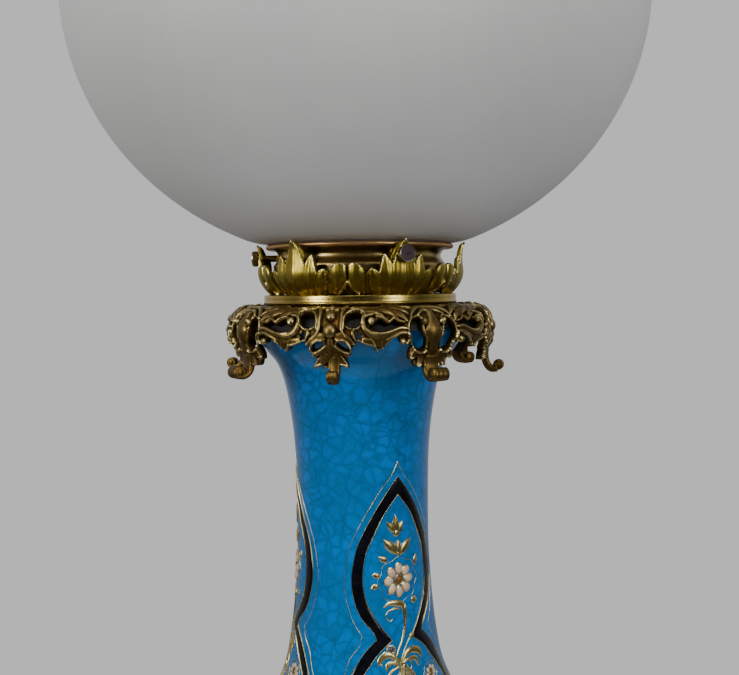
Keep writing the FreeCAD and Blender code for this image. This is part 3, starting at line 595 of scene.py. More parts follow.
def roll(azimuth, radius, height, size, length):
    """Rolled-up scroll end across a pendant, with fine rings on its face and its sides."""
    out, side = outward(azimuth), aside(azimuth)
    half = length / 2
    stations = [
        (-half, 0.0), (-half, size * 0.45), (-half + 0.25, size * 0.55), (-half, size * 0.7),
        (-half + 0.3, size), (-half * 0.4, size * 1.02), (-half * 0.3, size * 0.975),
        (-half * 0.2, size * 1.02)]
    stations += [(-across, wide) for across, wide in reversed(stations)]
    around = [out * math.cos(a) + UP * math.sin(a) for a in np.radians(np.arange(0, 360, 15))]
    centre = out * radius + UP * height
    sections = []
    for across, wide in stations:
        middle = centre + side * across
        sections.append(np.array([middle + spoke * max(wide, 0.02) for spoke in around]))
    return swept(sections)


# ---------------------------------------------------------------- base

BASE_PROFILE = [(58.0, 44.0), (66.5, 40.5), (71.0, 32.0), (71.5, 21.0), (68.5, 12.0)]
BASE_HALF = 56.2          # from the middle of a foot to midway between two feet
BASE_DEPTH = 39.4         # length of the profile
FOOT_PHASE = 32.0


def base_relief():
    relief = Relief(BASE_HALF, 0.0, BASE_DEPTH, 0.4)
    foot_leaves(relief)
    base_scrolls(relief)
    for x, y, radius in ((11.0, 19.8, 2.6), (BASE_HALF - 11.0, 18.8, 3.0)):
        around = np.radians(np.arange(0, 360, 20))
        relief.cut([(x + radius * math.cos(a), y + radius * math.sin(a)) for a in around], 0.6)
    relief.keep_within([
        (-5, -5), (-5, 45), (37.4, 45), (38.2, 38.6), (39.8, 35.6), (42.4, 33.6), (43.6, 31.4), (46.4, 31.6),
        (49.0, 29.8), (52.2, 29.4), (54.4, 30.4), (BASE_HALF, 31.6), (62, 31.6), (62, -5)], 0.5)
    return relief


def foot_leaves(relief):
    """Half of the acanthus leaf that runs down over a foot."""
    relief.leaf((4.0, 8.0), (13.4, 14.6), 2.9, 0.1, 1.0, -1.2)
    relief.leaf((3.6, 14.0), (9.6, 27.6), 2.8, 0.1, 1.1, -1.0)
    relief.leaf((2.6, 20.0), (8.2, 37.0), 2.9, 0.2, 1.2, -0.8)
    relief.blade((0.0, 4.0), (0.0, 38.4), 4.6, 0.5, 1.4)
    relief.bead(0.0, 5.4, 2.4, 2.2)


def base_scrolls(relief):
    """Half of the scrolls and the shell between two feet, under a beaded upper edge."""
    relief.ridge([(0, 1.6), (BASE_HALF / 2, 1.6), (BASE_HALF, 1.6)], (0.9, 0.9), 0.9)
    relief.ridge([
        (14.4, 35.8), (20.0, 37.0), (26.6, 34.6), (30.2, 28.6), (28.4, 22.0), (22.4, 19.8), (17.8, 23.6),
        (19.4, 28.6), (23.4, 28.4)], (0.9, 1.5, 1.8, 1.7, 1.5, 1.3, 1.1, 0.8), 1.4)
    relief.bead(23.2, 25.6, 1.7, 1.9)
    relief.ridge([
        (29.8, 27.0), (33.4, 19.0), (38.6, 13.4), (44.8, 10.6), (50.6, 12.4), (51.4, 16.6)],
        (1.5, 1.6, 1.5, 1.3, 1.0, 0.6), 1.3)
    relief.leaf((31.6, 22.6), (41.6, 26.4), 2.2, 0.1, 1.1, 1.0)
    relief.leaf((30.6, 26.4), (36.4, 34.6), 2.2, 0.1, 1.1, -0.8)
    relief.leaf((34.6, 17.4), (27.4, 8.2), 2.3, 0.1, 1.1, 1.2)
    relief.leaf((28.6, 21.4), (18.6, 9.0), 2.6, 0.1, 1.2, -1.4)
    relief.leaf((38.4, 13.4), (38.8, 5.0), 1.9, 0.1, 1.0, 0.8)
    for tip_x, tip_y, half in ((42.4, 26.6, 1.9), (46.6, 28.2, 1.9), (51.4, 28.8, 2.0)):
        relief.leaf((BASE_HALF - 2.4, 14.0), (tip_x, tip_y), half, 0.2, 1.1)
    relief.blade((BASE_HALF, 11.0), (BASE_HALF, 31.0), 2.4, 0.4, 1.4)
    relief.bead(BASE_HALF, 12.4, 2.2, 2.2)


def base_plate(material):
    """Flat web inside the casting, which the tie rod pulls on."""
    profile = outline((4.4, 40.0), [(56.0, 40.0)], [(58.0, 43.9)], [(4.4, 43.9)], [(4.4, 40.0)], level=0.0)
    turned_piece("base_plate", profile, material, STAND)


def base_foot(azimuth):
    """Scroll foot: a broad bar that comes down inside the apron and rolls up outwards on the floor."""
    leg = ribbon_hook(
        azimuth, [(65.0, 32.0), (65.4, 22.0), (66.2, 12.0), (68.6, 6.2), (72.6, 4.5), (77.0, 4.5)],
        ([0, 0.6, 1], [13.0, 15.0, 16.0]), ([0, 0.5, 1], [5.0, 6.4, 5.8]))
    return merged([leg, roll(azimuth, 77.5, 8.0, 6.3, 16.0)])


def carved_base(material):
    cast_ring(
        "base_apron", base_relief(), 4, FOOT_PHASE, profile_map(BASE_PROFILE, 0.0), 3.2, material, STAND,
        ("base_casting",))
    base_plate(material)
    for i in range(4):
        points, faces = base_foot(FOOT_PHASE + 90 * i)
        mesh_object(f"base_foot_{i + 1}", points, faces, material, STAND, hollow_shade_and_wear=np.full(len(points), 0.1))


# ---------------------------------------------------------------- leaf cup

CUP_PROFILE = at([(38.6, 0.1), (42.5, 4.5), (44.6, 9.0), (44.7, 14.0), (45.4, 19.0), (47.0, 22.6)])
CUP_HALF = 23.56          # half of one leaf cluster, measured round the widest part


def cup_relief():
    relief = Relief(CUP_HALF, 0.12, 22.5, 0.22)
    relief.height = relief.height - 0.5
    gadroon(relief, 19.8, 3.5, 0.6, 13.0)
    relief.blade((7.5, -4.0), (13.9, 11.6), 3.2, 0.0, 0.8)
    relief.blade((4.4, -4.0), (8.5, 17.2), 3.5, 0.4, 0.9)
    relief.blade((0.0, -8.0), (0.0, 23.4), 5.2, 0.8, 1.2)
    relief.ridge([(CUP_HALF, 5.6), (21.8, 3.6), (18.6, 1.0)], (0.7, 0.6, 0.4), 0.7, 0.9)
    veins = 0.03 * np.cos(relief.x * 3.3 + 0.1 * relief.y)
    relief.height = relief.height + veins * np.clip(relief.y / 8, 0, 1)
    relief.keep_within([
        (-6, -3), (-6, 22.6), (0, 22.6), (2.0, 20.6), (3.9, 18.2), (4.7, 16.2), (4.6, 14.2), (4.6, 13.0),
        (5.6, 14.6), (7.0, 15.6), (8.4, 16.6), (9.4, 14.8), (10.0, 12.6), (10.2, 10.8), (10.5, 9.7),
        (11.6, 10.3), (13.8, 11.0), (14.9, 9.8), (15.4, 8.6), (15.9, 7.6), (16.4, 9.4), (17.4, 11.2),
        (19, 12.5), (21.0, 13.0), (22.5, 12.5), (CUP_HALF, 11.9), (30, 9), (30, -3)])
    relief.round_edges(0.5)
    return relief


def gadroon(relief, x, half, low, high):
    """Plain domed lobe standing upright."""
    share = np.clip(np.abs(relief.x - x) / half, 0, 1)
    end = np.clip((relief.y - low) / 3, 0, 1)
    relief.raise_to(-0.3 + 1.7 * np.sqrt(1 - share ** 2) * end, (share < 1) & (relief.y < high))


def leaf_cup(material):
    relief = cup_relief()
    relief.y = relief.y + RING_TOP
    cast_ring("leaf_cup_casting", relief, 6, CUP_PHASE, profile_map(CUP_PROFILE), 0.6, material, GALLERY,
              ("leaf_cup",))


# ---------------------------------------------------------------- vase and its enamel

VASE_PROFILE = [
    (48.0, -12.5), (43.2, -23.1), (37.2, -31.4), (33.3, -44.9), (30.4, -67.8), (29.7, -100.0), (30.3, -123.0),
    (32.8, -150.7), (38.0, -173.4), (54.0, -206.0), (70.0, -235.0), (76.0, -264.0), (71.5, -295.0),
    (58.0, -322.0), (46.0, -338.0)]
VASE_CURVE = smooth(at(VASE_PROFILE), 12)
VASE_WALL = 5.0


def vase_radius(z):
    return np.interp(z, VASE_CURVE[::-1, 1], VASE_CURVE[::-1, 0])


def on_vase(azimuth, z, lift):
    """Points standing lift above the glaze at the given azimuths and heights."""
    azimuth, z, lift = (np.asarray(value, float) for value in (azimuth, z, lift))
    slope = vase_radius(z + 0.5) - vase_radius(z - 0.5)
    size = np.sqrt(1 + slope ** 2)
    radius = vase_radius(z) + lift / size
    return outward(azimuth) * radius[..., None] + UP * (z - lift * slope / size)[..., None]


def vase_lathe(material):
    inside = [(radius - VASE_WALL, height) for radius, height in VASE_PROFILE[-2:0:-1]]
    profile = outline(
        (41.0, -9.0), [(46.0, -9.0)], [(47.6, -10.4), VASE_PROFILE[0]], VASE_PROFILE[1:],
        [(43.5, -341.5), (43.5, -344.0)], [(36.0, -344.0)], [(36.0, -334.0)], [(41.0, -330.0)],
        inside + [(41.0, -13.0)], [(41.0, -9.0)])
    turned_piece("vase_glazed", profile, material, STAND, ("vase_body",), 192, 50)


STRIP_POINTS = 7          # points across an enamelled line
SUNK = 0.05               # how far the edges of enamel lie under the glaze


def grid_faces(rows, columns):
    faces = []
    for i in range(rows - 1):
        for a in range(i * columns, (i + 1) * columns - 1):
            faces.append([a, a + 1, a + columns + 1, a + columns])
    return faces


def enamel_strip(azimuth, path, half_widths, rise):
    """Rounded line of enamel or gilding along path, (degrees aside, height) points on the vase."""
    base = on_vase(azimuth + path[:, 0], path[:, 1], 0.0)
    tangent = np.gradient(base, axis=0)
    normal = on_vase(azimuth + path[:, 0], path[:, 1], 1.0) - base
    side = np.cross(normal, tangent)
    side = side / np.linalg.norm(side, axis=1, keepdims=True)
    half = np.interp(np.linspace(0, 1, len(path)), np.linspace(0, 1, len(half_widths)), half_widths)
    rows = []
    for station in np.linspace(-1, 1, STRIP_POINTS):
        lift = rise * math.sqrt(max(1 - station ** 2, 0.0)) - SUNK
        rows.append(base + side * (half * station)[:, None] + normal * lift)
    points = settled(np.stack(rows, axis=1).reshape(-1, 3), base, normal)
    return points, grid_faces(len(path), STRIP_POINTS)


def settled(points, base, normal):
    """Moves strip points so that they follow the vase's curvature to each side of the strip's middle."""
    base, normal = (np.repeat(rows, STRIP_POINTS, axis=0) for rows in (base, normal))
    lift = ((points - base) * normal).sum(axis=1)
    flat = points - normal * lift[:, None]
    azimuth = np.degrees(np.arctan2(flat[:, 0], -flat[:, 1]))
    return on_vase(azimuth, flat[:, 2], lift)


def enamel_band(azimuth, outer, inner, rise):
    """Rounded band of enamel between two outlines of (degrees aside, height) points."""
    steps = 60
    share = np.linspace(0, 1, steps)
    edges = []
    for edge in (outer, inner):
        curve = smooth(edge, 8)
        distance = along(curve) / along(curve)[-1]
        edges.append(np.column_stack([np.interp(share, distance, curve[:, k]) for k in (0, 1)]))
    stations = np.linspace(0, 1, 9)
    rows = []
    for station in stations:
        place = edges[0] * (1 - station) + edges[1] * station
        lift = rise * (1 - abs(2 * station - 1) ** 4) - SUNK
        rows.append(on_vase(azimuth + place[:, 0], place[:, 1], lift))
    return np.stack(rows, axis=1).reshape(-1, 3), grid_faces(steps, len(stations))


def dab(azimuth, x, height, length, width, turn, rise, point=0.0):
    """Domed dab of enamel, x millimetres aside of azimuth. turn is the direction of its tip in degrees
    from upright towards +x, and point narrows the tip end from an oval (0) to a leaf (1)."""
    rings, sectors = 5, 20
    angle = np.linspace(0, 2 * math.pi, sectors, endpoint=False)
    along_axis = np.cos(angle)
    narrow = 1 - point * np.clip(along_axis, 0, 1) ** 2 * 0.85
    across = np.sin(angle) * narrow
    points = [(0.0, 0.0, 1.0)]
    for ring in range(1, rings + 1):
        share = ring / rings
        dome = math.sqrt(max(1 - share ** 2, 0.0))
        points += [(share * a * length / 2, share * b * width / 2, dome) for a, b in zip(along_axis, across)]
    points = np.array(points)
    lean = math.radians(turn)
    dx = x + points[:, 0] * math.sin(lean) + points[:, 1] * math.cos(lean)
    dz = height + points[:, 0] * math.cos(lean) - points[:, 1] * math.sin(lean)
    place = on_vase(azimuth + np.degrees(dx / vase_radius(height)), dz, points[:, 2] * rise - SUNK)
    faces = [[0, 1 + (j + 1) % sectors, 1 + j] for j in range(sectors)]
    faces += [[1 + v for v in face] for face in ring_faces(rings, sectors)]
    return place, faces


def line(azimuth, points, half_widths, rise):
    """Gilded line through points given in millimetres aside and above the collar ring's top."""
    path = smooth(at(points), 7)
    degrees = np.degrees(path[:, 0] / vase_radius(path[:, 1]))
    return enamel_strip(azimuth, np.column_stack([degrees, path[:, 1]]), half_widths, rise)


def ring_line(azimuth, x, height, radius, half_width, scallops=0):
    turn = np.linspace(0, 2 * math.pi, 49)
    size = radius * (1 + 0.06 * bool(scallops) * np.cos(turn * scallops))
    points = np.column_stack([x + size * np.sin(turn), height + size * np.cos(turn)])
    degrees = np.degrees(points[:, 0] / vase_radius(height))
    return enamel_strip(azimuth, np.column_stack([degrees, points[:, 1]]), [half_width], 0.22)


BAND_OUTER_TOP = at([
    (0, -77.4), (12.6, -85.9), (25.4, -96.7), (34.7, -106.5), (39, -116), (39.9, -123.2), (37.5, -130.4),
    (32.8, -136.7), (23.6, -143), (20.8, -146.4)])
BAND_INNER_TOP = at([
    (0, -85.3), (12.7, -93.6), (20.6, -101.5), (28.2, -110.3), (30.9, -120.2), (29.4, -127.8), (24.9, -134.2),
    (16.5, -141.6), (8.6, -147.4)])
BAND_OUTER_LOW = at([
    (20.8, -146.4), (30, -151.5), (38, -158.5), (47, -169), (51.5, -182), (51.5, -200), (47.5, -225),
    (44.2, -255), (39.8, -285), (28.0, -308), (13, -321), (0, -331)])
BAND_INNER_LOW = at([
    (8.6, -147.4), (18.9, -151.8), (27.2, -157.6), (40, -169), (45.6, -182), (46.4, -200), (43.2, -225),
    (40.4, -255), (36.2, -284), (25.4, -304), (11.5, -316), (0, -325)])
CONTOUR_TOP = at([
    (0, -71.3), (5.8, -77.1), (15.6, -83.2), (32, -97), (41, -107.4), (45.4, -119), (45.5, -126),
    (42.4, -133), (37.5, -139.8), (31.7, -144.7)])
CONTOUR_LOW = at([
    (31.7, -144.7), (34, -149), (40.7, -154), (44.3, -160.3), (51.5, -169), (55, -182), (55, -200),
    (51, -225), (47.4, -255), (43, -286), (30, -311), (14, -324), (0, -334)])


def mirrored(points, side):
    return [(side * x, z) for x, z in points]


def cartouche_frame(azimuth):
    """Black band round one cartouche and the thin gilded lines along it."""
    black, gilt = [], []
    for side in (-1, 1):
        for outer, inner in ((BAND_OUTER_TOP, BAND_INNER_TOP), (BAND_OUTER_LOW, BAND_INNER_LOW)):
            black.append(enamel_band(azimuth, mirrored(outer, side), mirrored(inner, side), 0.4))
            gilt.append(enamel_strip(azimuth, smooth(mirrored(inner, side), 6), [0.17], 0.42))
            gilt.append(enamel_strip(azimuth, smooth(mirrored(outer, side), 6), [0.11], 0.42))
        for contour in (CONTOUR_TOP, CONTOUR_LOW):
            gilt.append(enamel_strip(azimuth, smooth(mirrored(contour, side), 6), [0.16], 0.2))
    return black, gilt


PETALS = 8


def flower(azimuth, x, height, radius):
    """Raised enamel flower: petals, their gilded edges and a dark middle."""
    cream, gilt, dark = [], [], []
    for i in range(PETALS):
        turn = 360 / PETALS * i
        out = 0.66 * radius
        px, pz = x + out * math.sin(math.radians(turn)), height + out * math.cos(math.radians(turn))
        gilt.append(dab(azimuth, px, pz, radius * 0.72, radius * 0.58, turn, radius * 0.05))
        cream.append(dab(azimuth, px, pz, radius * 0.6, radius * 0.48, turn, radius * 0.13))
    gilt.append(ring_line(azimuth, x, height, radius * 1.27, 0.13, PETALS))
    gilt.append(ring_line(azimuth, x, height, radius * 0.27, radius * 0.06))
    dark.append(dab(azimuth, x, height, radius * 0.5, radius * 0.5, 0, radius * 0.12))
    return cream, gilt, dark


def dabs(azimuth, rows):
    """Dabs from rows of x, height above the collar ring's top, and dab's other values."""
    return [dab(azimuth, x, RING_TOP + height, *others) for x, height, *others in rows]


def neck_sprig(azimuth):
    """Gilded bud, leaves, scroll and knot in the upper field of a cartouche."""
    gilt = dabs(azimuth, (
        (-1.0, -98.2, 8.4, 3.4, -4, 0.7, 0.9), (-3.4, -99.2, 6.6, 3.0, -36, 0.65, 0.9),
        (1.3, -99.8, 6.4, 2.8, 22, 0.6, 0.9), (-0.8, -102.0, 3.6, 3.6, 0, 0.7),
        (-3.7, -107.6, 9.6, 4.3, -44, 0.7, 0.8), (3.8, -108.4, 9.4, 4.1, 46, 0.7, 0.8),
        (0.0, -108.3, 6.6, 3.6, 0, 0.75, 0.5), (0.0, -111.0, 2.6, 2.2, 180, 0.6, 0.6),
        (-7.2, -112.7, 4.6, 2.9, -62, 0.5, 0.9), (-10.6, -119.4, 3.7, 2.6, -76, 0.5, 0.9),
        (-11.3, -124.2, 3.6, 2.6, -112, 0.5, 0.8), (9.6, -115.4, 5.0, 2.7, 12, 0.5, 0.9),
        (7.8, -132.4, 3.9, 3.2, 118, 0.5, 0.7), (15.2, -132.0, 2.6, 1.5, 10, 0.4, 0.8),
        (2.2, -135.0, 4.6, 1.9, 8, 0.6, 0.8), (5.2, -147.2, 3.8, 2.6, 62, 0.45, 0.7)))
    strokes = (
        ([(-7.8, -133.2), (-5.2, -131.9), (-2.2, -132.0), (0.9, -133.2), (2.2, -136.6), (2.0, -142.0),
          (0.2, -147.8), (-2.6, -152.6), (-4.6, -157.6)], (0.3, 1.1, 1.5, 1.3, 0.9, 0.6, 0.45, 0.45), 0.5),
        ([(-0.6, -134.6), (-3.6, -134.4), (-6.2, -135.6), (-6.6, -137.8), (-5.2, -139.2), (-3.9, -138.8)],
         (0.5, 0.35, 0.3), 0.3),
        ([(5.2, -146.4), (2.4, -149.6), (0.2, -153.4), (-1.8, -157.6)], (0.25, 0.35, 0.45), 0.3))
    gilt += [line(azimuth, *stroke) for stroke in strokes]
    gilt.append(ring_line(azimuth, -5.6, RING_TOP - 151.2, 1.7, 0.42))
    gilt.append(ring_line(azimuth, 1.4, RING_TOP - 158.9, 2.5, 0.45))
    return gilt


def knot(azimuth):
    """Tuft of curling leaves and loops that ties the neck's spray to the belly's."""
    strokes = (
        ([(-2.4, -157.4), (-5.0, -154.0), (-8.4, -153.2), (-11.2, -155.6), (-10.2, -157.4)],
         (0.4, 1.3, 1.7, 1.2, 0.3)),
        ([(-2.6, -158.4), (-5.2, -156.6), (-7.6, -157.2), (-8.6, -159.8)], (0.4, 0.9, 1.1, 0.3)),
        ([(-1.4, -157.2), (1.2, -154.2), (4.4, -152.9), (8.4, -154.4), (9.6, -157.6)],
         (0.4, 1.1, 1.6, 1.5, 0.3)),
        ([(-0.8, -157.4), (2.6, -156.4), (6.2, -157.0), (7.6, -160.4)], (0.4, 0.8, 1.2, 0.3)),
        ([(-3.0, -158.6), (-6.6, -160.4), (-8.2, -164.4), (-6.4, -166.4), (-5.0, -164.6)],
         (0.5, 0.8, 0.7, 0.5)),
        ([(-0.6, -159.0), (3.6, -161.8), (5.0, -166.2), (2.8, -168.0), (1.8, -166.0)],
         (0.5, 0.8, 0.7, 0.5)),
        ([(-2.2, -155.0), (-1.8, -158.0), (-1.6, -162.0), (-1.2, -168.0), (0.0, -176.0)],
         (0.6, 1.3, 1.1, 0.8, 0.7)),
        ([(-4.4, -152.6), (-3.4, -155.4), (-2.2, -158.4)], (0.3, 0.7, 0.8)),
    )
    return [line(azimuth, path, widths, 0.5) for path, widths in strokes]


def belly_sprays(azimuth):
    """Flowers, leaves and scrolls that fill the lower field of a cartouche."""
    cream, gilt, dark = [], [], []
    for x, height, radius in (
            (15.2, -166.0, 4.0), (-14.6, -168.0, 4.0), (0, -206, 12.0), (27, -190, 6.0), (-27, -192, 6.0),
            (22, -240, 7.5), (-23, -242, 7.5), (0, -272, 9.5)):
        petals, rims, middle = flower(azimuth, x, RING_TOP + height, radius)
        cream += petals
        gilt += rims
        dark += middle
    scrolls = (
        ([(0, -158), (7, -168), (16, -176), (22, -186)], (0.9, 0.7, 0.5), 0.45),
        ([(0, -158), (2.5, -170), (6, -182), (4, -192)], (0.9, 0.8, 0.6), 0.45),
        ([(0, -220), (8, -228), (18, -226), (29, -212), (38, -210), (40, -218), (35, -221)],
         (1.2, 1.0, 0.8, 0.6, 0.5), 0.5),
        ([(0, -222), (6, -244), (14, -258), (26, -264), (36, -254), (34, -246), (29, -250)],
         (1.1, 1.0, 0.8, 0.6, 0.5), 0.5),
        ([(0, -286), (8, -292), (17, -286), (18, -279), (13, -279)], (1.0, 0.8, 0.6, 0.5), 0.5))
    leaves = (
        (8, -174, 6, 70), (12, -186, 7, 130), (20, -173, 5, 30), (33, -180, 6, 20), (36, -194, 6, 80),
        (16, -196, 7, 60), (17, -213, 7, 110), (30, -204, 6, 140), (36, -228, 7, 60), (12, -234, 7, 150),
        (33, -238, 7, 30), (38, -262, 7, 100), (12, -256, 7, 40), (20, -270, 7, 110), (26, -280, 6, 60),
        (9, -300, 6, 150))
    for side in (-1, 1):
        gilt += [line(azimuth, mirrored(path, side), widths, rise) for path, widths, rise in scrolls]
        gilt += dabs(azimuth, [(side * x, height, length, length * 0.5, side * turn, 0.55, 0.9)
                               for x, height, length, turn in leaves])
    return cream, gilt, dark


def vase_enamel(black, gilding, cream, brown):
    for i, azimuth in enumerate(CARTOUCHES):
        band, lines = cartouche_frame(azimuth)
        petals, rims, middle = flower(azimuth, 0, RING_TOP - 122.4, 7.5)
        low_petals, low_rims, low_middle = belly_sprays(azimuth)
        lines += rims + neck_sprig(azimuth) + knot(azimuth) + low_rims
        middle += low_middle + dabs(
            azimuth, ((-5.6, -151.2, 2.2, 2.2, 0, 0.5), (15.2, -164.3, 3.0, 2.6, 0, 0.5)))
        for name, parts, material in (
                ("band", band, black), ("gilding", lines, gilding), ("petals", petals + low_petals, cream),
                ("flower_middles", middle, brown)):
            points, faces = merged(parts)
            mesh_object(f"cartouche_{i + 1}_{name}", points, faces, material, STAND)


# ---------------------------------------------------------------- globe, chimney, holder and ring

GLOBE_R = 125.0
GLOBE_HALF_HEIGHT = 109.3
GLOBE_Z = 124.5           # middle of the globe above the collar ring's top
GLOBE_WALL = 2.4
GLOBE_TOP_R = 52.0


def globe_arc(shrink, low_r, high_r):
    wide, half = GLOBE_R - shrink, GLOBE_HALF_HEIGHT - shrink
    angles = np.linspace(-math.acos(low_r / wide), math.acos(high_r / wide), 28)
    return np.column_stack([wide * np.cos(angles), GLOBE_Z + half * np.sin(angles)]).tolist()


def frosted_globe(material):
    outer, inner = globe_arc(0, 50.0, GLOBE_TOP_R), globe_arc(GLOBE_WALL, 48.0, GLOBE_TOP_R)
    throat = 34.0 - GLOBE_WALL
    profile = outline(
        (throat, 10.1), [(34.0, 10.1)], [(34.0, 17.0)], [(35.2, 20.4), (38.6, 22.2), (44.0, 22.9)] + outer,
        [(GLOBE_TOP_R - 1.2, outer[-1][1] + 0.6), inner[-1]],
        inner[-2::-1] + [(40.0, 25.4), (34.4, 23.4), (throat, 18.0)], [(throat, 10.1)])
    points, faces = lathe(thinned(profile, 0.4), 200)
    sharpen(mesh_object("globe_frosted", points, faces, material, "globe", ("globe",)), 45)


def thinned(profile, least):
    """Profile without points closer together than least."""
    kept = [profile[0]]
    for point in profile[1:]:
        if np.hypot(*(point - kept[-1])) >= least:
            kept.append(point)
    return np.array(kept)


def glass_chimney(material):
    foot, top, wall = 15.05, 290.0, 1.8
    outer = [(26.0, 36.0), (24.6, 43.0), (21.6, 50.0), (20.4, 60.0)]
    inner = [(radius - wall, height) for radius, height in reversed(outer)]
    profile = outline(
        (26.0, foot), [outer[0]], outer[1:], [(18.0, top)], [(17.1, top), (18.0 - wall, top)], [inner[0]],
        inner[1:], [(26.0 - wall, foot)])
    turned_piece("chimney_glass", thinned(profile, 0.3), material, "chimney", ("chimney",), 96, 45)


def globe_holder(dark, copper):
    ledge = 10.0
    profile = outline(
        (33.6, 1.0), [(36.4, 1.0)], [(38.0, 7.0), (38.6, 12.6)], [(38.2, 13.4)],
        [(36.6, 15.6), (36.3, 17.4), (37.4, 19.2), (39.2, 20.1)], [(38.8, 21.2)],
        [(36.4, 20.0), (34.8, 17.2), (34.6, 14.0)], [(34.6, ledge)], [(30.8, ledge)], [(30.8, ledge - 1.4)],
        [(33.6, ledge - 1.4)], [(33.6, 1.0)])
    turned_piece("holder_body", profile, dark, GALLERY, ("globe_holder",), degrees=35)
    around = np.radians(np.arange(0, 360, 30))
    rim = [(40.7 + 1.3 * math.cos(a), RING_TOP + 20.9 + 1.05 * math.sin(a)) for a in around]
    web = outline((38.6, 20.2), [(40.4, 20.5)], [(40.4, 21.4)], [(38.4, 21.0)], [(38.6, 20.2)])
    points, faces = merged([lathe(rim, 160), lathe(web, 160)])
    sharpen(mesh_object("holder_rolled_lip", points, faces, copper, GALLERY), 50)


def collar_ring(material):
    profile = outline(
        (37.3, 0.0), [(38.4, 0.0)], [(38.7, -0.25), (39.0, 0.0)], [(42.3, 0.0)],
        [(42.75, -0.2), (42.9, -0.6)], [(42.9, -1.5)], [(42.82, -1.6), (42.9, -1.7)], [(42.9, -2.7)],
        [(43.3, -3.35), (42.9, -4.0)], [(42.3, -4.3)], [(41.0, -4.8)], [(41.0, -7.0)], [(31.0, -7.0)],
        [(31.0, -4.0)], [(37.3, -4.0)], [(37.3, 0.0)])
    turned_piece("collar_ring_turned", profile, material, STAND, ("collar_ring",), 200)


SCREW_HEIGHT = RING_TOP + 16.5
SCREW_AZIMUTHS = {"thumbscrew_front": 24.0, "thumbscrew_back": 144.0, "thumbscrew_left": 264.0}


def thumbscrew(body, azimuth, face_material, rim_material, barrel_material):
    """Flat round-headed thumbscrew: milled nickel rim, dark dished face with a small centre dot."""
    sectors = 120
    angles = np.arange(sectors) * 2 * math.pi / sectors
    spokes = aside(azimuth) * np.cos(angles)[:, None] + UP * np.sin(angles)[:, None]

    def ring(reach, radius, milled=0.0):
        size = radius - milled * (0.5 + 0.5 * np.cos(angles * 30))
        return outward(azimuth) * reach + UP * SCREW_HEIGHT + spokes * size[:, None]

    barrel = (
        (34.4, 0.02), (34.4, 1.3), (34.7, 1.5), (45.4, 1.5), (45.8, 1.9), (45.9, 3.2), (46.2, 3.45, 0.22),
        (48.3, 3.5, 0.22))
    lip = ((48.3, 3.5), (48.7, 3.47), (48.87, 3.34), (48.8, 3.18), (48.5, 3.08))
    face = (
        (48.5, 3.09), (48.45, 2.2), (48.55, 1.2), (48.55, 0.62), (48.35, 0.5), (48.3, 0.4), (48.6, 0.3),
        (48.7, 0.02))
    for name, rings, material, replaced in (
            ("barrel", barrel, barrel_material, (body,)), ("lip", lip, rim_material, ()),
            ("face", face, face_material, ())):
        points = np.vstack([ring(*values) for values in rings])
        faces = [[a, d, c, b] for a, b, c, d in ring_faces(len(rings), sectors)]
        sharpen(mesh_object(f"{body}_{name}", points, faces, material, body, replaced), 40)


# ---------------------------------------------------------------- materials

class Nodes:
    """Node tree under construction."""

    def __init__(self, owner):
        owner.use_nodes = True
        self.nodes = owner.node_tree.nodes
        self.links = owner.node_tree.links

    def put(self, socket, value):
        if isinstance(value, bpy.types.NodeSocket):
            self.links.new(value, socket)
        elif isinstance(value, tuple) and len(value) == 3 and socket.type == "RGBA":
            socket.default_value = (*value, 1.0)
        else:
            socket.default_value = value

    def node(self, kind, values, **settings):
        made = self.nodes.new(kind)
        for key, value in settings.items():
            setattr(made, key, value)
        for key, value in values.items():
            self.put(made.inputs[key], value)
        return made

    def sums(self, operation, a, b):
        return self.node("ShaderNodeMath", {0: a, 1: b}, operation=operation).outputs[0]

    def ranged(self, value, low, high, to_low=0.0, to_high=1.0, **settings):
        values = {"Value": value, "From Min": low, "From Max": high, "To Min": to_low, "To Max": to_high}
        return self.node("ShaderNodeMapRange", values, **settings).outputs[0]


class Finish(Nodes):
    """Procedural material under construction, patterned in the frame's own coordinates."""

    def __init__(self, name, **constants):
        self.material = bpy.data.materials.new(name)
        super().__init__(self.material)
        self.shader = self.nodes["Principled BSDF"]
        for socket, value in constants.items():
            self.shader.inputs[socket.replace("_", " ")].default_value = value
        self.place = self.nodes.new("ShaderNodeTexCoord").outputs["Object"]

    def set(self, name, value):
        self.put(self.shader.inputs[name], value)

    def noise(self, scale, detail=3.0, roughness=0.55, place=None):
        values = {"Vector": place or self.place, "Scale": scale, "Detail": detail, "Roughness": roughness}
        return self.node("ShaderNodeTexNoise", values).outputs[0]

    def stretched(self, x, y, z):
        return self.node("ShaderNodeMapping", {"Vector": self.place, "Scale": (x, y, z)}).outputs[0]

    def edges(self, scale, place):
        values = {"Vector": place, "Scale": scale}
        return self.node("ShaderNodeTexVoronoi", values, feature="DISTANCE_TO_EDGE").outputs["Distance"]

    def ramp(self, value, *stops):
        """Colour ramp from (position, (red, green, blue)) stops."""
        made = self.node("ShaderNodeValToRGB", {"Fac": value})
        elements = made.color_ramp.elements
        while len(elements) < len(stops):
            elements.new(0.5)
        for element, (position, colour) in zip(elements, stops):
            element.position = position
            element.color = (*colour, 1.0)
        return made.outputs["Color"]

    def mix(self, share, a, b):
        return self.node("ShaderNodeMix", {0: share, 6: a, 7: b}, data_type="RGBA").outputs[2]

    def bump(self, height, strength, distance):
        values = {"Height": height, "Strength": strength, "Distance": distance}
        self.set("Normal", self.node("ShaderNodeBump", values).outputs[0])

    def hollow_shade_and_wear(self):
        """How far a place of a casting stands out from its surroundings, 0.5 for level ground."""
        raw = self.node("ShaderNodeAttribute", {}, attribute_name="hollow_shade_and_wear").outputs["Fac"]
        return self.ranged(raw, -0.7, 0.7)


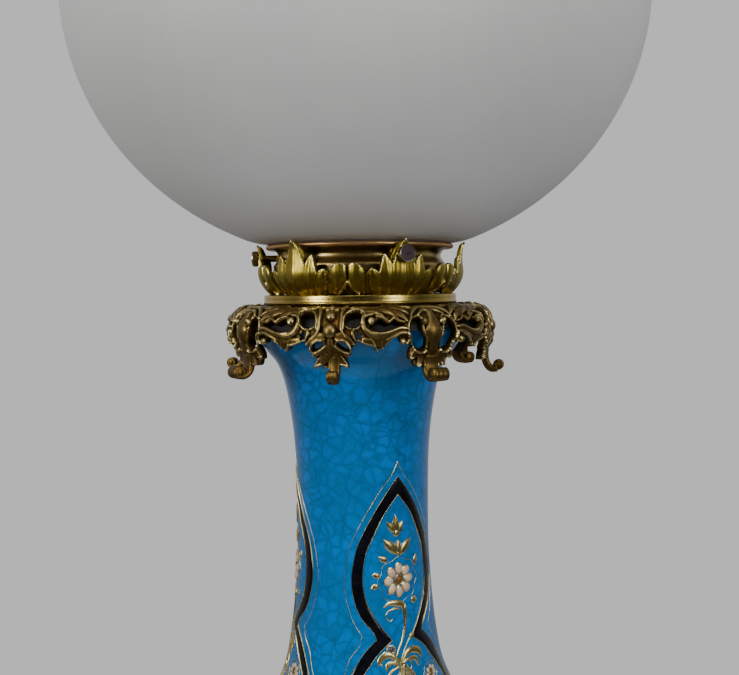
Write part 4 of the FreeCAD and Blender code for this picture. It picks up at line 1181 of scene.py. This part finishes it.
def antique_gilt(name, hollow_dirt_and_shade, ground, high, stain, roughness):
    """Old gilding, darker in its hollows from dirt and from painted shade, and lighter on rubbed high places.
    """
    finish = Finish(name, Metallic=1.0)
    hollow_shade_and_wear = finish.hollow_shade_and_wear()
    cloud = finish.noise(90.0, 4.0)
    fine = finish.noise(900.0, 3.0, 0.6)
    shifted = finish.sums("ADD", hollow_shade_and_wear, finish.ranged(fine, 0.3, 0.7, -0.07, 0.07))
    between = tuple(0.5 * (c + g) for c, g in zip(hollow_dirt_and_shade, ground))
    # The darkest stop is the hollow colour: dirt and painted shade together.
    colour = finish.ramp(shifted, (0.1, hollow_dirt_and_shade), (0.4, between), (0.55, ground), (0.82, high))
    stained = finish.mix(finish.ranged(cloud, 0.45, 0.72, 0.0, 0.55), colour, stain)
    finish.set("Base Color", stained)
    finish.set("Roughness", finish.ranged(shifted, 0.2, 0.85, roughness + 0.22, roughness - 0.06))
    finish.bump(finish.sums("ADD", fine, finish.noise(260.0, 2.0)), 0.14, 0.0002)
    return finish.material


def turned_metal(name, colour, dull, roughness, lines=2600.0):
    """Metal turned on a lathe: fine rings, faint tarnish and small spots."""
    finish = Finish(name, Metallic=1.0)
    rings = finish.noise(lines, 2.0, 0.6, finish.stretched(0.0, 0.0, 1.0))
    cloud = finish.noise(55.0, 4.0)
    spots = finish.noise(700.0, 2.0, 0.7)
    tone = finish.mix(finish.ranged(cloud, 0.4, 0.7, 0.0, 0.75), colour, dull)
    speckle = finish.ranged(spots, 0.62, 0.74, 0.0, 0.6)
    finish.set("Base Color", finish.mix(speckle, tone, tuple(0.5 * c for c in dull)))
    grooved = finish.ranged(rings, 0.3, 0.7, roughness - 0.03, roughness + 0.04)
    finish.set("Roughness", finish.sums("ADD", grooved, finish.ranged(cloud, 0.4, 0.8, 0.0, 0.08)))
    finish.bump(finish.sums("ADD", rings, finish.sums("MULTIPLY", spots, 0.5)), 0.13, 0.00008)
    return finish.material


def turquoise_glaze():
    """Blue glaze over pottery, with a net of fine cracks, cloudy depth and pinholes."""
    finish = Finish(
        "turquoise_glaze", Roughness=0.1, IOR=1.5, Specular_IOR_Level=0.36, Coat_Weight=0.06,
        Coat_Roughness=0.04)
    waver = finish.node(
        "ShaderNodeTexNoise", {"Vector": finish.place, "Scale": 62.0, "Detail": 2.5}).outputs["Color"]
    shift = finish.node("ShaderNodeVectorMath", {0: waver, "Scale": 0.0105}, operation="SCALE").outputs[0]
    bent = finish.node("ShaderNodeVectorMath", {0: finish.place, 1: shift}, operation="ADD").outputs[0]
    cells = finish.edges(185.0, bent)
    wide_cells = finish.edges(48.0, bent)
    one_cell = finish.node("ShaderNodeTexVoronoi", {"Vector": bent, "Scale": 185.0}).outputs["Color"]
    depth = finish.ramp(
        finish.ranged(cells, 0.0, 0.3), (0.0, (0.0, 0.102, 0.262)), (0.3, (0.0, 0.113, 0.32)),
        (0.85, (0.0, 0.128, 0.415)))
    clouds = finish.sums("ADD", finish.noise(34.0, 4.0), finish.ranged(one_cell, 0.0, 1.0, -0.12, 0.12))
    teal = finish.mix(finish.ranged(clouds, 0.4, 0.62, 0.0, 0.8), depth, (0.0, 0.098, 0.25))
    seen = finish.ranged(finish.noise(60.0, 2.0), 0.38, 0.66)
    crack = finish.sums("MULTIPLY", finish.ranged(cells, 0.0, 0.07, 0.32, 0.0), seen)
    wide_crack = finish.ranged(wide_cells, 0.003, 0.018, 0.4, 0.0)
    cracked = finish.mix(finish.sums("MAXIMUM", crack, wide_crack), teal, (0.0, 0.042, 0.085))
    pits = finish.ranged(finish.noise(1100.0, 1.0, 0.5), 0.76, 0.8, 0.0, 0.8)
    finish.set("Base Color", finish.mix(pits, cracked, (0.01, 0.02, 0.03)))
    waves = finish.sums(
        "ADD", finish.noise(45.0, 2.0), finish.sums("MULTIPLY", finish.noise(420.0, 2.0), 0.12))
    finish.bump(finish.sums("SUBTRACT", waves, finish.sums("MULTIPLY", wide_crack, 0.05)), 0.22, 0.0012)
    return finish.material


def enamel(name, colour, tint, roughness, metallic=0.0, shine=0.5):
    """Painted enamel or burnished gold laid on by hand, uneven in tone and surface."""
    finish = Finish(name, Metallic=metallic, IOR=1.5, Specular_IOR_Level=shine)
    cloud = finish.noise(600.0, 3.0)
    broad = finish.noise(120.0, 2.0)
    finish.set(
        "Base Color", finish.mix(finish.ranged(finish.sums("ADD", cloud, broad), 0.8, 1.25), colour, tint))
    finish.set("Roughness", finish.ranged(cloud, 0.3, 0.75, roughness - 0.05, roughness + 0.1))
    finish.bump(cloud, 0.3, 0.00015)
    return finish.material


def frosted_glass():
    """Glass etched on the outside: soft, slightly cloudy and a little warm."""
    finish = Finish("frosted_glass", IOR=1.46, Transmission_Weight=0.3, Specular_IOR_Level=0.3)
    cloud = finish.noise(14.0, 3.0)
    grain = finish.noise(2600.0, 2.0, 0.6)
    finish.set(
        "Base Color", finish.mix(finish.ranged(cloud, 0.35, 0.7), (0.56, 0.565, 0.56), (0.61, 0.605, 0.59)))
    finish.set("Roughness", finish.ranged(grain, 0.3, 0.7, 0.5, 0.62))
    finish.bump(grain, 0.12, 0.00006)
    return finish.material


def clear_glass():
    finish = Finish("clear_glass", IOR=1.47, Transmission_Weight=1.0)
    ripple = finish.noise(40.0, 2.0, 0.5, finish.stretched(1.0, 1.0, 0.25))
    film = finish.noise(160.0, 3.0)
    finish.set(
        "Base Color", finish.mix(finish.ranged(film, 0.4, 0.8), (0.97, 0.985, 0.975), (0.9, 0.93, 0.92)))
    finish.set("Roughness", finish.ranged(film, 0.45, 0.8, 0.015, 0.06))
    finish.bump(ripple, 0.15, 0.0006)
    return finish.material


def fibre(name, colour, tint, scale, upright=1.0):
    """Cotton, felt or cork: matt, with a fine fibrous grain."""
    finish = Finish(name, Sheen_Weight=0.3)
    grain = finish.noise(scale, 4.0, 0.7, finish.stretched(1.0, 1.0, upright))
    finish.set("Base Color", finish.mix(finish.ranged(grain, 0.35, 0.65), colour, tint))
    finish.set("Roughness", finish.ranged(grain, 0.3, 0.7, 0.85, 0.98))
    finish.bump(grain, 0.8, 0.0005)
    return finish.material


def floor_paint():
    finish = Finish("floor_paint")
    grain = finish.noise(30.0, 4.0)
    finish.set("Base Color", finish.mix(grain, (0.4, 0.4, 0.405), (0.44, 0.44, 0.445)))
    finish.set("Roughness", finish.ranged(grain, 0.3, 0.7, 0.6, 0.75))
    return finish.material


# ---------------------------------------------------------------- stage

BACKGROUND = 0.635        # brightness of the surroundings as the camera sees them
FLOOR_R = 400.0


def soft_light(name, azimuth, distance, height, width, tall, power, colour, tilt):
    """Soft rectangular light, distances in metres; tilt turns it from level (0) to the collar ring (1)."""
    data = bpy.data.lights.new(name, "AREA")
    data.shape = "RECTANGLE"
    data.size, data.size_y = width, tall
    data.energy = power
    data.color = colour
    lamp = bpy.data.objects.new(name, data)
    bpy.context.scene.collection.objects.link(lamp)
    place = outward(azimuth) * distance
    lamp.location = (place[0], place[1], height)
    aim = Vector((-place[0], -place[1], (RING_TOP * MM - height) * tilt))
    lamp.rotation_euler = aim.to_track_quat("-Z", "Y").to_euler()


def pale_room():
    """Even pale surroundings behind the lamp and a dimmer room in front of it."""
    world = bpy.data.worlds.new("room")
    bpy.context.scene.world = world
    room = Nodes(world)
    room.nodes.clear()
    place = room.node("ShaderNodeTexCoord", {}).outputs["Generated"]
    way = room.node("ShaderNodeSeparateXYZ", {0: place}).outputs
    depth = room.ranged(way["Y"], -0.35, 0.5, 0.03, 0.5, interpolation_type="SMOOTHSTEP")
    lower = room.ranged(way["Z"], -0.6, 0.15, 0.2, 1.0, interpolation_type="SMOOTHSTEP")
    seen = room.node("ShaderNodeLightPath", {}).outputs["Is Camera Ray"]
    strength = room.node("ShaderNodeMix", {0: seen, 2: room.sums("MULTIPLY", depth, lower), 3: BACKGROUND})
    shine = room.node("ShaderNodeBackground", {"Color": (0.985, 0.985, 1.0), "Strength": strength.outputs[0]})
    room.node("ShaderNodeOutputWorld", {0: shine.outputs[0]})


def round_floor():
    angles = np.linspace(0, 2 * math.pi, 96, endpoint=False)
    rim = [(FLOOR_R * math.sin(a), FLOOR_R * math.cos(a), 0.0) for a in angles]
    mesh = bpy.data.meshes.new("floor")
    mesh.from_pydata((np.array(rim) * MM).tolist(), [], [list(range(len(rim)))[::-1]])
    mesh.materials.append(floor_paint())
    piece = bpy.data.objects.new("floor", mesh)
    bpy.context.scene.collection.objects.link(piece)


CAMERA_PLACE = (3.97, -405.8, RING_TOP + 2.97)
CAMERA_TIP, CAMERA_LEAN = 0.0556, -0.0122     # radians down from level, and out of upright
FOCAL_LENGTH = 43.84


def photographer():
    """Camera a little above the collar ring's level, tipped down slightly and not quite upright."""
    data = bpy.data.cameras.new("camera")
    data.sensor_width = 36.0
    data.lens = FOCAL_LENGTH
    data.clip_start, data.clip_end = 0.01, 20.0
    camera = bpy.data.objects.new("camera", data)
    bpy.context.scene.collection.objects.link(camera)
    turn = Matrix.Rotation(math.pi / 2 - CAMERA_TIP, 4, "X") @ Matrix.Rotation(CAMERA_LEAN, 4, "Z")
    camera.matrix_world = Matrix.Translation(Vector(CAMERA_PLACE) * MM) @ turn
    bpy.context.scene.camera = camera


# ---------------------------------------------------------------- the lamp

# The first colour of each gilt is its hollow colour, dirt and painted shade together.
skirt_gilt = antique_gilt(
    "skirt_gilt", (0.02, 0.013, 0.004), (0.17, 0.11, 0.03), (0.5, 0.4, 0.17), (0.15, 0.07, 0.014), 0.37)
leaf_gilt = antique_gilt(
    "leaf_gilt", (0.07, 0.05, 0.006), (0.42, 0.32, 0.045), (0.86, 0.74, 0.28), (0.3, 0.2, 0.025), 0.3)
ring_gilt = turned_metal("ring_gilt", (0.52, 0.39, 0.1), (0.33, 0.23, 0.05), 0.22)
dark_brass = turned_metal("dark_brass", (0.46, 0.34, 0.12), (0.22, 0.14, 0.045), 0.28)
copper = turned_metal("worn_copper", (0.76, 0.46, 0.2), (0.5, 0.28, 0.11), 0.4)
brass = turned_metal("plain_brass", (0.6, 0.45, 0.19), (0.4, 0.27, 0.1), 0.32, 1500.0)
steel = turned_metal("plain_steel", (0.5, 0.5, 0.5), (0.3, 0.29, 0.28), 0.35, 1500.0)
nickel = turned_metal("worn_nickel", (0.62, 0.58, 0.54), (0.35, 0.3, 0.26), 0.28, 4000.0)
screw_face = enamel("screw_face", (0.03, 0.02, 0.022), (0.05, 0.032, 0.034), 0.5, shine=0.12)

relief = skirt_relief()
cast_ring(
    "skirt_casting", relief, 4, SKIRT_PHASE, profile_map(SKIRT_PROFILE, SKIRT_START), 2.6, skirt_gilt, STAND,
    ("pierced_skirt",), drift=SKIRT_DRIFT)
hooks(skirt_gilt)
# The liner's pewter is coloured almost black: painted shade behind the skirt's openings.
skirt_liner(turned_metal("pewter_dark_as_shade", (0.035, 0.034, 0.033), (0.018, 0.016, 0.015), 0.6, 900.0))
carved_base(skirt_gilt)
leaf_cup(leaf_gilt)
vase_lathe(turquoise_glaze())
vase_enamel(
    enamel("black_enamel", (0.002, 0.0025, 0.004), (0.006, 0.006, 0.009), 0.12, shine=0.3),
    enamel("burnished_gilding", (0.72, 0.6, 0.28), (0.5, 0.42, 0.14), 0.3, 1.0),
    enamel("petal_enamel", (0.42, 0.29, 0.22), (0.5, 0.38, 0.25), 0.3),
    enamel("brown_enamel", (0.06, 0.022, 0.004), (0.14, 0.06, 0.012), 0.25))
frosted_globe(frosted_glass())
glass_chimney(clear_glass())
globe_holder(dark_brass, copper)
collar_ring(ring_gilt)
for body, azimuth in SCREW_AZIMUTHS.items():
    thumbscrew(body, azimuth, screw_face, nickel, dark_brass)

FOOT_PADS = tuple("foot_pad_" + place for place in ("front_right", "back_right", "back_left", "front_left"))
CARRIED_OVER = {
    ring_gilt: ("base_ring",),
    brass: ("tie_nuts", "tie_washers", "mouth_bush", "mount_screws", "font_collar", "burner_base",
            "air_basket", "wick_tube", "draught_tube", "flame_spreader", "chimney_gallery", "wick_pinions",
            "wick_knob", "oil_font"),
    steel: ("tie_rod", "wick_shaft"),
    fibre("cotton_wick", (0.62, 0.56, 0.44), (0.42, 0.36, 0.27), 1500.0, 0.15): ("wick",),
    fibre("seat_cork", (0.36, 0.22, 0.12), (0.2, 0.11, 0.05), 700.0): ("vase_seat_washer",),
    fibre("green_felt", (0.03, 0.08, 0.045), (0.05, 0.12, 0.07), 1800.0): FOOT_PADS,
}
for material, names in CARRIED_OVER.items():
    for name in names:
        for slot in NODES[name].material_slots:
            slot.material = material

pale_room()
round_floor()
LIGHTS = (
    ("front_fill", 12.0, 1.3, 0.5, 1.0, 0.7, 8.6, (1.0, 1.0, 1.0), 0.0),
    ("window_left", -51.0, 1.5, 0.85, 0.36, 1.0, 16.0, (1.0, 0.99, 0.97), 0.0),
    ("window_right", 42.0, 1.6, 0.85, 0.28, 1.0, 11.2, (0.98, 0.99, 1.0), 0.0),
    ("overhead", -8.0, 0.95, 1.7, 0.8, 0.6, 14.0, (1.0, 0.995, 0.985), 1.0))
for values in LIGHTS:
    soft_light(*values)
bpy.data.objects["front_fill"].visible_glossy = False
photographer()
